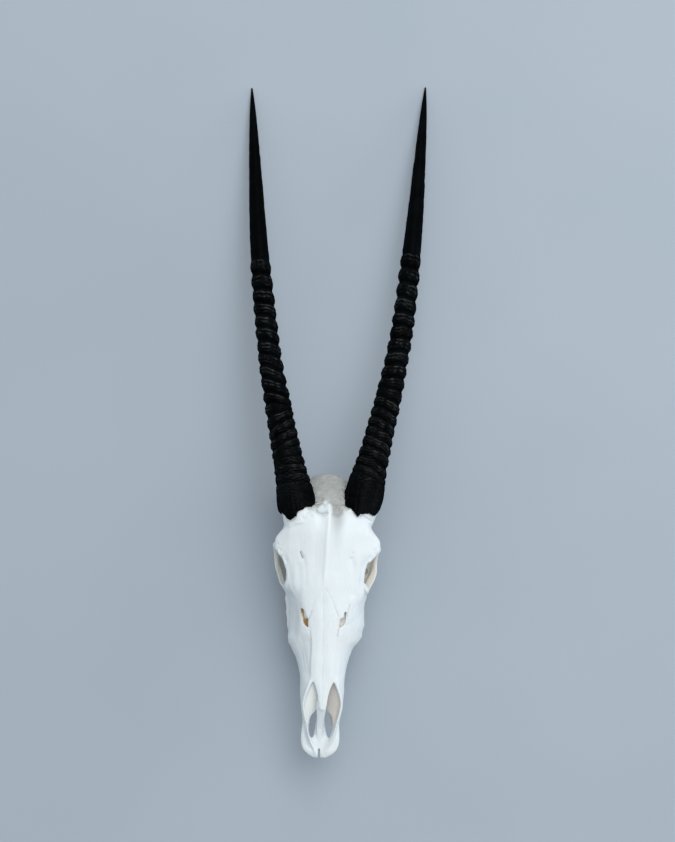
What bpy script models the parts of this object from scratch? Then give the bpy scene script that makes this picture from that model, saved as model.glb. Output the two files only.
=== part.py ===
"""Gemsbok skull with its two horns, laid down as a loose one rests.

The bones are modelled in the face frame, in millimetres: X to the animal's
left, Y from the muzzle tip along the line of the nose to the back of the head,
Z square to that line and out of the face. The cheek teeth and the base of the
skull are given along the tooth plane, which slopes down from the face line.
At the end everything is turned and dropped onto the ground, so that the horn
tips and the two processes at the back of the skull carry it, nose to -Y.
"""

import math

import bmesh
import bpy
import numpy as np
from mathutils import Matrix, Vector

MM = 0.001

# Attitude of the tooth plane and of the resting skull
TOOTH_SLOPE = math.radians(18.5)
MUZZLE_ABOVE_TEETH = 12.0
REST_TILT = math.radians(8.6)
REST_HEIGHT = 71.4
MIDDLE_ALONG = 533.622
MIDDLE_ACROSS = 1.712
GROUND_BLOCK = (300.0, 600.0, 100.0)
GROUND_BLOCK_ALONG = -150.0

# Fineness of the bone surface
VOXEL = 1.9
SMOOTH_ROUNDS = 3
CRANIUM_TRIANGLES = 5100

# Fits between neighbouring pieces
FIT_GAP = 0.3

# Horns
HORN_ROUTE = (
    (45.6, 354.5, -8.5), (49.5, 374, -13.5), (61.5, 432, -28.5), (82.5, 522.5, -53), (99, 615, -80.5),
    (112, 710.5, -110.5), (122, 809, -143), (130, 911, -179.5), (135.3, 981, -206), (139.3, 1037.5, -228),
)
HORN_GIRTH = (
    (0, 28.3), (28, 28.2), (42, 26.5), (60, 24), (90, 21.8), (130, 20.2), (180, 18.9), (230, 17.2), (280, 16.2),
    (330, 15.7), (380, 15), (430, 13.9), (480, 12.6), (530, 11), (585, 9), (640, 6.9), (690, 4.1), (726, 1.0),
)
HORN_SIDES = 14
RING_COUNT = 19
FIRST_RING = 46.0
RING_PITCH = 14.0
RING_PITCH_GROWTH = 0.333
RING_HEIGHT = 1.9
RING_SLANT = 0.1
SOCKET_DEPTH = 9.0
SOCKET_RADIUS = 25.0
STUB_RADIUS = 23.0
STUB_CLEARANCE = 1.7
SHEATH_ROOM = 31.0
SHEATH_ROOM_LENGTH = 80.0
STUB_FOOT = 16.0
LEFT_SLIDE = 6.0
RIGHT_SLIDE = -12.0
LEFT_TIP_LIFT = 0.516
RIGHT_TIP_LIFT = -1.286
COLLAR_STATIONS = (0.0, 14.0, 30.0)
SMOOTH_AFTER_LAST_RING = (14.0, 50.0)
SMOOTH_STATIONS = 7

# Upper cheek teeth: name, length along the row, width across it
TEETH = (
    ("premolar_2", 13.0, 10.0), ("premolar_3", 15.5, 13.0), ("premolar_4", 15.5, 14.5),
    ("molar_1", 19.0, 17.0), ("molar_2", 21.5, 18.0), ("molar_3", 21.0, 17.0),
)
ROW_START = 139.0
ROW_FRONT_OUT = 29.0
ROW_BACK_OUT = 37.0
CROWN_HEIGHT = 17.0
CROWN_BEVEL = 2.0
ROOT_DEPTH = 4.0
TOOTH_SIDES = 10
MOLAR_FROM = 17.0
MOLAR_WAIST = 0.14
PREMOLAR_WAIST = 0.05
SOCKET_SPARE = 0.45

# Finishes: colour and roughness
BONE = ((0.82, 0.83, 0.84), 0.55)
TOOTH = ((0.80, 0.78, 0.72), 0.35)
KERATIN = ((0.012, 0.012, 0.014), 0.5)


# Curves and frames

def through(knots, values, at):
    """Values on a smooth curve through the given ones, read at the places in at."""
    knots = np.asarray(knots, float)
    values = np.asarray(values, float)
    at = np.clip(np.asarray(at, float), knots[0], knots[-1])
    slope = np.gradient(values, knots, axis=0)
    cell = np.clip(np.searchsorted(knots, at, side="right") - 1, 0, len(knots) - 2)
    width = knots[cell + 1] - knots[cell]
    step = (at - knots[cell]) / width
    if values.ndim > 1:
        step = step[:, None]
        width = width[:, None]
    rise = step * step * (3 - 2 * step)
    first = values[cell] * (1 - rise) + values[cell + 1] * rise
    lead = slope[cell] * step * (1 - step) ** 2
    trail = slope[cell + 1] * step * step * (step - 1)
    return first + (lead + trail) * width


def lengths_along(points, power=1.0):
    """Running length of a broken line at each of its points."""
    legs = np.linalg.norm(np.diff(points, axis=0), axis=1) ** power
    return np.concatenate(([0.0], np.cumsum(legs)))


def from_teeth(side, along, up):
    """Face-frame point of a place given beside, along and above the tooth plane."""
    up = up - MUZZLE_ABOVE_TEETH
    slope_cos = math.cos(TOOTH_SLOPE)
    slope_sin = math.sin(TOOTH_SLOPE)
    return (side, along * slope_cos + up * slope_sin, up * slope_cos - along * slope_sin)


def all_from_teeth(points):
    """Face-frame points of a list of places given by the tooth plane."""
    return [from_teeth(*point) for point in points]


# Building meshes

def mesh_object(name, points, faces):
    """New object of the given points and faces, faces turned outward."""
    mesh = bpy.data.meshes.new(name)
    mesh.from_pydata([tuple(point) for point in points], [], faces)
    obj = bpy.data.objects.new(name, mesh)
    bpy.context.scene.collection.objects.link(obj)
    work = bmesh.new()
    work.from_mesh(mesh)
    bmesh.ops.recalc_face_normals(work, faces=work.faces)
    work.to_mesh(mesh)
    work.free()
    return obj


def loft(name, rings):
    """Closed body through rings of equal point count, with a fan at each end."""
    rings = [np.asarray(ring, float) for ring in rings]
    count = len(rings[0])
    points = np.vstack(rings + [rings[0].mean(axis=0)[None], rings[-1].mean(axis=0)[None]])
    first_centre = len(rings) * count
    faces = []
    for level in range(len(rings) - 1):
        low = level * count
        for corner in range(count):
            after = (corner + 1) % count
            faces.append((low + corner, low + after, low + count + after, low + count + corner))
    last = (len(rings) - 1) * count
    for corner in range(count):
        after = (corner + 1) % count
        faces.append((after, corner, first_centre))
        faces.append((last + corner, last + after, first_centre + 1))
    return mesh_object(name, points, faces)


def face_ring(along, outline, per_span=4):
    """Closed smooth ring at one place along the face, through a half outline and its mirror image."""
    half = np.asarray(outline, float)
    left = half[1:-1][::-1] * (-1, 1)
    closed = np.vstack((half, left))
    padded = np.vstack((closed[-3:], closed, closed[:4]))
    knots = lengths_along(padded, power=0.7)
    at = []
    for span in range(len(closed)):
        low, high = knots[span + 3], knots[span + 4]
        at.extend(low + (high - low) * np.arange(per_span) / per_span)
    flat = through(knots, padded, at)
    return np.column_stack((flat[:, 0], np.full(len(flat), along), flat[:, 1]))


def section_loft(name, stations, spacing=6.0, per_span=4):
    """Body through half outlines given at places along the face; the ones between are worked out."""
    along = [station[0] for station in stations]
    outlines = np.array([station[1] for station in stations], float)
    count = max(2, int(round((along[-1] - along[0]) / spacing)) + 1)
    places = np.linspace(along[0], along[-1], count)
    shapes = through(along, outlines.reshape(len(along), -1), places)
    rings = []
    for place, shape in zip(places, shapes):
        rings.append(face_ring(place, shape.reshape(-1, 2), per_span))
    return loft(name, rings)


def sweep(name, points, breadths, heights, sides=12, count=None, upright=(0, 0, 1), ring=False):
    """Bar of oval section along a smooth curve; breadths lie across it and heights along upright."""
    points = np.asarray(points, float)
    if ring:
        points = np.vstack((points[-2:], points, points[:3]))
        breadths = list(breadths[-2:]) + list(breadths) + list(breadths[:3])
        heights = list(heights[-2:]) + list(heights) + list(heights[:3])
    knots = lengths_along(points)
    start = knots[2] if ring else 0.0
    stop = knots[-3] if ring else knots[-1]
    count = count or max(4, int((stop - start) / 5) + 2)
    at = np.linspace(start, stop, count, endpoint=not ring)
    route = through(knots, points, at)
    ahead = through(knots, points, np.minimum(at + 0.5, knots[-1]))
    behind = through(knots, points, np.maximum(at - 0.5, 0))
    run = ahead - behind
    run /= np.linalg.norm(run, axis=1)[:, None]
    across = np.cross(run, np.asarray(upright, float))
    across /= np.linalg.norm(across, axis=1)[:, None]
    over = np.cross(across, run)
    breadth = through(knots, breadths, at)
    height = through(knots, heights, at)
    turn = np.arange(sides) * math.tau / sides
    rings = []
    for place in range(count):
        ring_points = route[place] + np.outer(np.cos(turn) * breadth[place], across[place])
        rings.append(ring_points + np.outer(np.sin(turn) * height[place], over[place]))
    if not ring:
        return loft(name, rings)
    faces = []
    for level in range(count):
        low = level * sides
        high = (level + 1) % count * sides
        for corner in range(sides):
            after = (corner + 1) % sides
            faces.append((low + corner, low + after, high + after, high + corner))
    return mesh_object(name, np.vstack(rings), faces)


def blob(name, centre, radii, tilt=-TOOTH_SLOPE, yaw=0.0):
    """Egg-shaped lump; radii lie across, along and above the tooth plane unless tilt says otherwise."""
    bpy.ops.mesh.primitive_uv_sphere_add(segments=24, ring_count=14, radius=1.0)
    obj = bpy.context.active_object
    obj.name = name
    turn = Matrix.Rotation(yaw, 4, "Z") @ Matrix.Rotation(tilt, 4, "X")
    obj.data.transform(Matrix.Translation(Vector(centre)) @ turn @ Matrix.Diagonal((*radii, 1.0)))
    return obj


def rod(name, start, end, start_radius, end_radius, sides=24):
    """Round bar between two points, with its own radius at each end."""
    start, end = Vector(start), Vector(end)
    bpy.ops.mesh.primitive_cone_add(
        vertices=sides, radius1=start_radius, radius2=end_radius, depth=(end - start).length)
    obj = bpy.context.active_object
    obj.name = name
    turn = (end - start).to_track_quat("Z", "Y").to_matrix().to_4x4()
    obj.data.transform(Matrix.Translation((start + end) / 2) @ turn)
    return obj


def mirrored(obj):
    """Copy of a body on the animal's other side."""
    twin = obj.copy()
    twin.data = obj.data.copy()
    twin.name = obj.name + "_other_side"
    twin.data.transform(Matrix.Scale(-1, 4, (1, 0, 0)))
    twin.data.flip_normals()
    bpy.context.scene.collection.objects.link(twin)
    return twin


def both_sides(obj):
    """The body and its mirror image."""
    return [obj, mirrored(obj)]


def joined(name, bodies):
    """One object that holds all the bodies, which may still pass through each other."""
    work = bmesh.new()
    for body in bodies:
        work.from_mesh(body.data)
        bpy.data.objects.remove(body)
    mesh = bpy.data.meshes.new(name)
    work.to_mesh(mesh)
    work.free()
    obj = bpy.data.objects.new(name, mesh)
    bpy.context.scene.collection.objects.link(obj)
    return obj


def applied(obj):
    """Bakes the object's modifiers into its mesh."""
    graph = bpy.context.evaluated_depsgraph_get()
    mesh = bpy.data.meshes.new_from_object(obj.evaluated_get(graph))
    obj.modifiers.clear()
    obj.data = mesh
    return obj


def combined(obj, cutter, operation="DIFFERENCE", overlapping=True):
    """Result of a Boolean on two objects; the second is used up."""
    modifier = obj.modifiers.new("combine", "BOOLEAN")
    modifier.operation = operation
    modifier.solver = "EXACT"
    modifier.use_self = overlapping
    modifier.object = cutter
    applied(obj)
    bpy.data.objects.remove(cutter)
    return obj


# Face and forehead: half outlines from the midline above, round the side, to the midline below.
# Each one gives the crest, shoulder, widest point, outer lower edge, inner lower edge and underside.

FACE_STATIONS = (
    (1, ((0, 1), (5, 1), (10, -2), (8, -6), (5, -7), (0, -6))),
    (6, ((0, 2), (10, 2), (18, -1), (14, -8), (8, -9), (0, -7))),
    (12, ((0, 3), (13, 3), (23.5, -1), (18, -9.5), (10, -10), (0, -7.5))),
    (20, ((0, 3.5), (17, 3), (26.8, -1.5), (21, -11.5), (12, -11.5), (0, -8))),
    (33, ((0, 5), (21, 4.5), (27.5, -1.5), (22, -15), (13, -15), (0, -10))),
    (51, ((0, 9), (22, 8.5), (26.3, 0), (22, -19), (14, -19), (0, -13))),
    (68, ((0, 14), (24, 14), (29, 2), (22.5, -24), (15, -24), (0, -17))),
    (90, ((0, 22), (21, 20), (31.5, -2), (23, -30), (16, -30), (0, -22))),
    (120, ((0, 24.5), (19, 21), (32.8, -10), (27, -37), (19, -37), (0, -28))),
    (140, ((0, 24.6), (20, 20.5), (37.5, -20), (34, -42), (20, -42), (0, -32))),
    (154, ((0, 24.6), (21, 20), (42.5, -28), (38, -47), (22, -47), (0, -36))),
    (161, ((0, 24.6), (22, 19.5), (46.5, -30), (40, -49), (23, -49), (0, -37))),
    (167, ((0, 24.6), (23, 19), (52.5, -31), (42, -52), (24, -52), (0, -39))),
    (173, ((0, 24.6), (24, 18.5), (55, -31.5), (43, -54), (24.5, -54), (0, -41))),
    (185, ((0, 24.6), (27, 17.5), (55.3, -32), (45, -58), (25, -58), (0, -45))),
    (210, ((0, 24.8), (35, 15), (55.5, -33), (47, -66), (26, -66), (0, -53))),
    (232, ((0, 25), (43, 12), (57.5, -33), (46, -73), (27, -73), (0, -60))),
    (244, ((0, 25), (48, 10), (57, -32), (40, -72), (26, -73), (0, -62))),
)

CORE_STATIONS = (
    (222, ((0, 20), (30, 15), (34, -10), (26, -36), (14, -44), (0, -42))),
    (250, ((0, 22), (28, 17), (28, -8), (22, -30), (12, -38), (0, -38))),
    (275, ((0, 24), (27, 18), (24, -10), (20, -34), (12, -44), (0, -44))),
    (300, ((0, 26), (30, 18), (28, -15), (24, -42), (14, -54), (0, -54))),
    (325, ((0, 26), (34, 16), (36, -25), (30, -54), (16, -66), (0, -66))),
    (352, ((0, 16), (34, 4), (40, -35), (34, -66), (16, -78), (0, -79))),
)

# Forehead plate: crest, mid, rim above, rim edge, rim below, underside
FOREHEAD_STATIONS = (
    (212, ((0, 24.5), (24, 19), (38, 10), (40, 5), (34, 2), (0, 12))),
    (232, ((0, 25.5), (28, 20), (47, 9), (52, 3), (44, -2), (0, 12))),
    (245, ((0, 26), (30, 21), (50, 10), (56, 4), (50, 0), (0, 13))),
    (258, ((0, 26.5), (31, 22), (52, 11), (58.5, 6), (52, 2), (0, 13))),
    (270, ((0, 27), (32, 22.5), (54, 12), (60, 7), (54, 3), (0, 13))),
    (283, ((0, 28), (33, 23), (57, 12), (64, 6), (57, 2), (0, 13))),
    (294, ((0, 28.5), (34, 23), (60, 11), (71, 2), (61, -3), (0, 12))),
    (306, ((0, 29), (35, 23), (62, 9), (77, -4), (62, -13), (0, 6))),
    (314, ((0, 29.5), (36, 23), (62, 9), (75.5, -4), (56, -17), (0, 2))),
    (323, ((0, 29.5), (37, 23), (60, 11), (68.5, -3), (51, -21), (0, -2))),
    (333, ((0, 28.5), (38, 22), (56, 12), (62, -3), (46, -25), (0, -6))),
    (344, ((0, 25), (38, 20), (55, 11), (62, -6), (46, -28), (0, -12))),
    (353, ((0, 20.5), (30, 16), (46, 7), (54, -9), (42, -28), (0, -18))),
    (363, ((0, 11), (22, 8), (34, 1), (40, -14), (34, -30), (0, -26))),
)


# Crown of the head behind the forehead, between the horns and down to the nape
CROWN_STATIONS = (
    (338, ((0, 18), (20, 15), (38, 0), (40, -20), (30, -40), (0, -44))),
    (356, ((0, 14), (18, 11), (36, -6), (41, -26), (34, -50), (0, -60))),
    (370, ((0, 3), (18, 0), (34, -14), (40, -34), (36, -60), (0, -75))),
    (385, ((0, -11), (19, -15), (34, -29), (39, -46), (36, -66), (0, -80))),
    (397, ((0, -26), (18, -30), (31, -42), (34, -52), (29, -62), (0, -68))),
    (407, ((0, -42), (10, -43), (18, -46), (19, -49), (12, -51), (0, -51))),
)


def nasal_bones():
    """Pair of vaulted nasal bones that overhang the nostrils, drawn to a point in front."""
    stations = []
    for along, half_width, crest in ((66.5, 1.6, 24), (72, 3.8, 24.4), (80, 6.6, 24.6), (93, 9.6, 24.8),
                                     (104, 13.5, 24.8), (112, 16, 24.6), (135, 16.5, 24.4)):
        stations.append((along, ((0, crest), (half_width * 0.6, crest - 0.6), (half_width, crest - 3.0),
                                 (half_width * 0.85, crest - 5.0), (half_width * 0.45, crest - 4.4),
                                 (0, crest - 4.2))))
    return section_loft("nasal_bones", stations, spacing=5.0, per_span=3)


def nose_cavity():
    """Space inside the nose, open above in front of the nasal bones."""
    inside = section_loft("nose_space", (
        (24, ((0, 6), (5, 6), (10, 2), (8, -1), (5, -2), (0, -2))),
        (36, ((0, 8), (12, 8), (19.5, 1), (16, -7), (9, -8), (0, -6))),
        (51, ((0, 14), (14, 12), (21.5, 1), (17, -11), (10, -13), (0, -9))),
        (68, ((0, 18), (17, 15), (24.5, 0), (18, -14), (12, -17), (0, -12))),
        (90, ((0, 19), (17, 16), (27, -2), (20, -19), (13, -22), (0, -16))),
        (120, ((0, 19.5), (15, 16.5), (27.5, -8), (22, -27), (14, -29), (0, -22))),
        (155, ((0, 19), (16, 15), (32, -16), (25, -34), (15, -38), (0, -30))),
        (185, ((0, 18), (23, 12), (42, -18), (28, -36), (17, -45), (0, -38))),
        (212, ((0, 15), (28, 9), (44, -14), (28, -38), (16, -50), (0, -45))),
        (230, ((0, 6), (16, 2), (24, -14), (20, -36), (14, -52), (0, -52))),
    ))
    opening = section_loft("nostril_opening", (
        (5, ((0, 30), (1.5, 30), (2, 20), (2, 6), (1.5, 2), (0, 2))),
        (12, ((0, 30), (5, 30), (6.5, 20), (6, 6), (4, 1), (0, 1))),
        (24, ((0, 34), (11, 34), (13, 20), (12.5, 6), (9, 1), (0, 0.5))),
        (40, ((0, 40), (16, 40), (18, 20), (17.5, 6), (13, 1), (0, 1))),
        (54, ((0, 40), (18.5, 40), (20.6, 20), (20, 6), (15, 2), (0, 2))),
        (66, ((0, 40), (21, 40), (23.5, 20), (23, 8), (17, 4), (0, 4))),
        (78, ((0, 40), (22.5, 40), (25.2, 24), (24.5, 11), (18, 7), (0, 7))),
        (88, ((0, 40), (21, 40), (23.8, 24), (23, 12), (18, 9), (0, 9))),
        (100, ((0, 40), (18, 40), (19.8, 24), (19, 14), (16, 11), (0, 11))),
        (114, ((0, 40), (13, 40), (14, 24), (13.5, 16), (12, 14), (0, 14))),
    ))
    return [inside, opening]


def nostril_rim():
    """Sharp edge of the nostril opening on one side, from the muzzle tip up to the nasal bones."""
    return sweep("nostril_rim", (
        (3.5, 4, 0), (8.5, 12, 1.5), (15, 24, 4), (19.6, 40, 8), (22.4, 54, 11),
        (25.4, 66, 14), (27.2, 78, 16), (25.8, 88, 17.5), (22, 100, 18.8), (17, 114, 19.5)),
        (2.2, 2.2, 2.2, 2.1, 2.1, 2.1, 2.1, 2.2, 2.4, 2.6), (3.5, 4, 4.5, 4.5, 4.2, 4, 4, 4, 3.8, 3.5))


def palate_slots():
    """Two slots through the floor of the nose, with the narrow bar between them, and the front slit."""
    slot = sweep("palate_slot", ((9, 29, -4), (11, 40, -6), (11.3, 54, -9), (9.5, 72, -14)),
                 (2.5, 5.4, 5.6, 2.2), (14, 14, 15, 16))
    slit = sweep("front_slit", ((0, -3, 0), (-0.3, 8, 0), (-0.6, 21, 0)), (1.6, 1.3, 0.8), (14, 14, 14), sides=8)
    return both_sides(slot) + [slit]


def orbit_rim():
    """Ring of bone around one eye socket."""
    points = ((57, 243, -8), (57, 255, 3), (58.5, 270, 5.5), (63, 285, 4), (71.5, 299, -4),
              (73.5, 303, -18), (72.5, 297, -34), (72, 284, -43), (71, 268, -43), (65, 253, -36), (58.5, 243.5, -23))
    breadths = (6, 4.5, 4, 4.5, 5, 4.5, 4.5, 4, 4, 4.5, 6)
    heights = (5, 4, 3.5, 4, 5, 5.5, 5, 4, 4, 4.5, 5)
    return sweep("orbit_rim", points, breadths, heights, ring=True, upright=(1, 0, 0.35), sides=10)


def orbit_floor():
    """Shelf that runs inward from the lower rim of one eye socket."""
    return sweep("orbit_floor", ((42, 228, -40), (50, 242, -46), (59, 257, -51), (62, 273, -54), (64, 288, -49)),
                 (10, 11, 11, 9, 6), (4, 3.4, 3, 3, 3), upright=(-0.45, 0, 1))


def horn_root(slide):
    """Swelling of the forehead from which one horn stub rises."""
    base, run = horn_frame(slide)
    top = base - run * STUB_CLEARANCE + Vector((-3.5, 0, 0))
    return rod("horn_root", (34, 322, -3), top, 25, 25.5)


def cheek_arch():
    """Bar from the cheek under the eye to the side of the braincase."""
    front = sweep("cheek_bar", ((48, 221, -36), (54, 236, -39), (62.5, 250, -42), (69, 266, -47), (70, 282, -51)),
                  (8, 6.5, 5, 4.5, 4), (12, 11, 9, 8, 7.5))
    back = sweep("temple_bar", all_from_teeth((
        (71, 280, 54), (69, 290, 57), (65, 303, 60), (61.5, 318, 64), (57, 331, 68), (47, 341, 72), (34, 345, 76))),
        (3.8, 3.8, 3.8, 4.5, 6, 8, 10), (7.5, 6.5, 6.5, 7, 7, 8, 12))
    hinge = blob("jaw_joint", from_teeth(48, 331, 58), (13, 9, 6))
    return [front, back, hinge]


def braincase():
    """Rounded case behind the forehead, with the crest across its back."""
    parts = [
        blob("case", from_teeth(0, 346, 80), (40, 52, 36)),
        section_loft("crown", CROWN_STATIONS),
        blob("case_back", from_teeth(0, 374, 68), (41, 22, 33)),
        sweep("nape_crest", all_from_teeth((
            (-42, 372, 52), (-43, 380, 70), (-34, 388, 86), (-17, 395, 97), (0, 398, 101),
            (17, 395, 97), (34, 388, 86), (43, 380, 70), (42, 372, 52))),
            (4, 4, 4, 4, 4, 4, 4, 4, 4), (5, 5, 6, 7, 7, 7, 6, 5, 5)),
        sweep("nape_keel", all_from_teeth(((0, 388, 72), (0, 393, 86), (0, 396, 98))), (4, 4, 5), (8, 7, 6),
              upright=(0, 1, 0)),
    ]
    return parts


def skull_base():
    """Bar under the braincase with the ear capsules, neck joints and rear processes."""
    parts = [sweep("base_bar", all_from_teeth(((0, 392, 46), (0, 370, 46), (0, 335, 50), (0, 296, 58))),
                   (19, 17, 13, 10), (7, 8, 9, 10))]
    condyle = blob("neck_joint", from_teeth(17, 391, 50), (11.5, 14, 16))
    parts += both_sides(condyle)
    parts += both_sides(blob("ear_capsule", from_teeth(26, 352, 38), (9, 16, 15)))
    parts += both_sides(blob("mastoid", from_teeth(41, 370, 56), (9, 13, 20)))
    process = sweep("rear_process", all_from_teeth(((40, 380, 58), (38.5, 377, 38), (36, 373, 21), (33.5, 369, 3.5))),
                    (8, 5.8, 5, 4.6), (13, 11, 9, 7), upright=(0, 1, 0.2))
    parts += both_sides(process)
    return parts


def wing_plate():
    """Thin plate beside the rear opening of the nose."""
    return sweep("wing_plate", all_from_teeth((
        (22, 226, 38), (18.5, 240, 40), (16, 258, 42), (15, 276, 43), (14.5, 292, 48), (14, 302, 54))),
        (4, 3, 2.6, 2.6, 2.8, 4), (14, 16, 17, 17, 12, 6))


def horn_frame(slide):
    """Base centre of a left horn and the direction in which it sets out."""
    first, second = Vector(HORN_ROUTE[0]), Vector(HORN_ROUTE[1])
    run = (second - first).normalized()
    return first + run * slide, run


def horn_stub(radius, foot, top, slide):
    """Bar along the axis of a left horn, between two distances from its base."""
    base, run = horn_frame(slide)
    return rod("horn_stub", base + run * foot, base + run * top, radius, radius)


def on_each_side(make, left_sizes, right_sizes):
    """A left body and a mirrored right one, each made from the sizes of its own side."""
    left = make(*left_sizes)
    right = make(*right_sizes)
    other = mirrored(right)
    bpy.data.objects.remove(right)
    return [left, other]


def stubs(radius, foot, top):
    """Bars along both horns' axes, each at the slide of its own horn."""
    return on_each_side(horn_stub, (radius, foot, top, LEFT_SLIDE), (radius, foot, top, RIGHT_SLIDE))


def eye_socket():
    """Hollow of one eye socket."""
    return blob("eye_socket", (60, 271, -20), (33, 25, 21.5), tilt=0.0, yaw=math.radians(-8))


def brain_space():
    """Hollow of the braincase and its opening at the back."""
    return [
        blob("brain_space", from_teeth(0, 346, 80), (33, 42, 27)),
        rod("nape_opening", from_teeth(0, 350, 66), from_teeth(0, 415, 57), 12, 13),
    ]


def rear_nostrils():
    """Channel by which the nose opens downward behind the palate."""
    return section_loft("rear_nostrils", (
        (222, ((0, -38), (7, -38), (10, -46), (10, -60), (6, -90), (0, -90))),
        (236, ((0, -36), (8, -36), (12, -46), (13, -60), (11, -90), (0, -90))),
        (255, ((0, -38), (8, -38), (12, -46), (13, -60), (12, -90), (0, -90))),
        (285, ((0, -52), (6, -52), (10, -58), (11, -66), (10, -90), (0, -90))),
    ))


def face_slits():
    """Open wedges beside the nasal bones, and the small nerve openings of the face."""
    wedge = sweep("side_wedge", ((21.5, 185, 16), (25, 193, 15), (29, 202, 13), (34.5, 214, 10)),
                  (1.0, 3.8, 4.6, 1.0), (12, 12, 12, 12), sides=10, upright=(0.35, 0, 1))
    nerve = rod("cheek_opening", (46, 146, -20), (24, 168, -22), 2.8, 2.0, sides=10)
    brow = rod("brow_opening", (36, 292, 34), (33, 284, 8), 2.2, 1.8, sides=10)
    return both_sides(wedge) + both_sides(nerve) + both_sides(brow)


def tooth_places():
    """Name, middle, length and width of each upper cheek tooth of one side, along the tooth plane."""
    places = []
    front = ROW_START
    total = sum(length for _, length, _ in TEETH)
    for name, length, width in TEETH:
        middle = front + length / 2
        out = ROW_FRONT_OUT + (ROW_BACK_OUT - ROW_FRONT_OUT) * (middle - ROW_START) / total
        places.append((name, middle, out, length, width))
        front += length
    return places


def tooth_outline(length, width, spare=0.0):
    """Outline of a tooth seen from its chewing side, with a waist between the two lobes of a molar."""
    waist_depth = MOLAR_WAIST if length > MOLAR_FROM else PREMOLAR_WAIST
    points = []
    for step in range(TOOTH_SIDES):
        turn = (step + 0.5) * math.tau / TOOTH_SIDES
        along = math.cos(turn)
        across = math.sin(turn)
        square = max(abs(along), abs(across)) ** -0.6
        waist = 1.0 - waist_depth * math.exp(-(along * 3.0) ** 2)
        points.append((across * square * waist * (width / 2 + spare), along * square * (length / 2 + spare)))
    return points


def tooth_solid(name, place, heights, scales, spare=0.0):
    """Body of one left tooth through copies of its outline at heights over the tooth plane."""
    _, middle, out, length, width = place
    rings = []
    for height, scale in zip(heights, scales):
        ring = []
        for side, along in tooth_outline(length - FIT_GAP, width, spare):
            ring.append(from_teeth(out + side * scale, middle + along * scale, height))
        rings.append(ring)
    return loft(name, rings)


def teeth():
    """The six left cheek teeth."""
    top = CROWN_HEIGHT + ROOT_DEPTH
    solids = []
    for place in tooth_places():
        solids.append(tooth_solid(place[0], place, (CROWN_BEVEL, 0.0, CROWN_BEVEL, top), (0.55, 0.9, 1.0, 1.0)))
    return solids


def sockets():
    """Bodies that cut the left sockets; each one runs into the next, as thin as the bone is there."""
    top = CROWN_HEIGHT + ROOT_DEPTH + FIT_GAP
    cutters = []
    for place in tooth_places():
        cutters.append(tooth_solid("socket", place, (-5.0, top), (1.0, 1.0), SOCKET_SPARE))
    return cutters


def cranium():
    """Upper skull as one body of bone, with a socket for each tooth."""
    face = section_loft("face", FACE_STATIONS)
    face = joined("face", [face] + both_sides(nostril_rim()))
    face = combined(face, joined("nose_cutters", nose_cavity() + palate_slots()))
    parts = [face, nasal_bones(), section_loft("core", CORE_STATIONS), section_loft("forehead", FOREHEAD_STATIONS)]
    parts += both_sides(orbit_rim())
    parts += both_sides(orbit_floor())
    parts += on_each_side(horn_root, (LEFT_SLIDE,), (RIGHT_SLIDE,))
    for bar in cheek_arch():
        parts += both_sides(bar)
    parts += braincase()
    parts += skull_base()
    parts += both_sides(wing_plate())
    body = joined("cranium", parts)
    hollow = both_sides(eye_socket()) + brain_space() + face_slits() + [rear_nostrils()]
    hollow += stubs(SHEATH_ROOM, -STUB_CLEARANCE, SHEATH_ROOM_LENGTH)
    body = combined(body, joined("hollows", hollow))
    body = joined("cranium", [body] + stubs(STUB_RADIUS, -STUB_FOOT, SOCKET_DEPTH - STUB_CLEARANCE))
    remesh = body.modifiers.new("skin", "REMESH")
    remesh.mode = "VOXEL"
    remesh.voxel_size = VOXEL
    smooth = body.modifiers.new("soften", "SMOOTH")
    smooth.iterations = SMOOTH_ROUNDS
    smooth.factor = 0.5
    applied(body)
    decimate = body.modifiers.new("thin", "DECIMATE")
    decimate.ratio = CRANIUM_TRIANGLES / (2 * len(body.data.polygons))
    applied(body)
    combined(body, ground(), overlapping=False)
    row = joined("sockets", sockets())
    for side in both_sides(row):
        body = combined(body, side)
    return body


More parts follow.
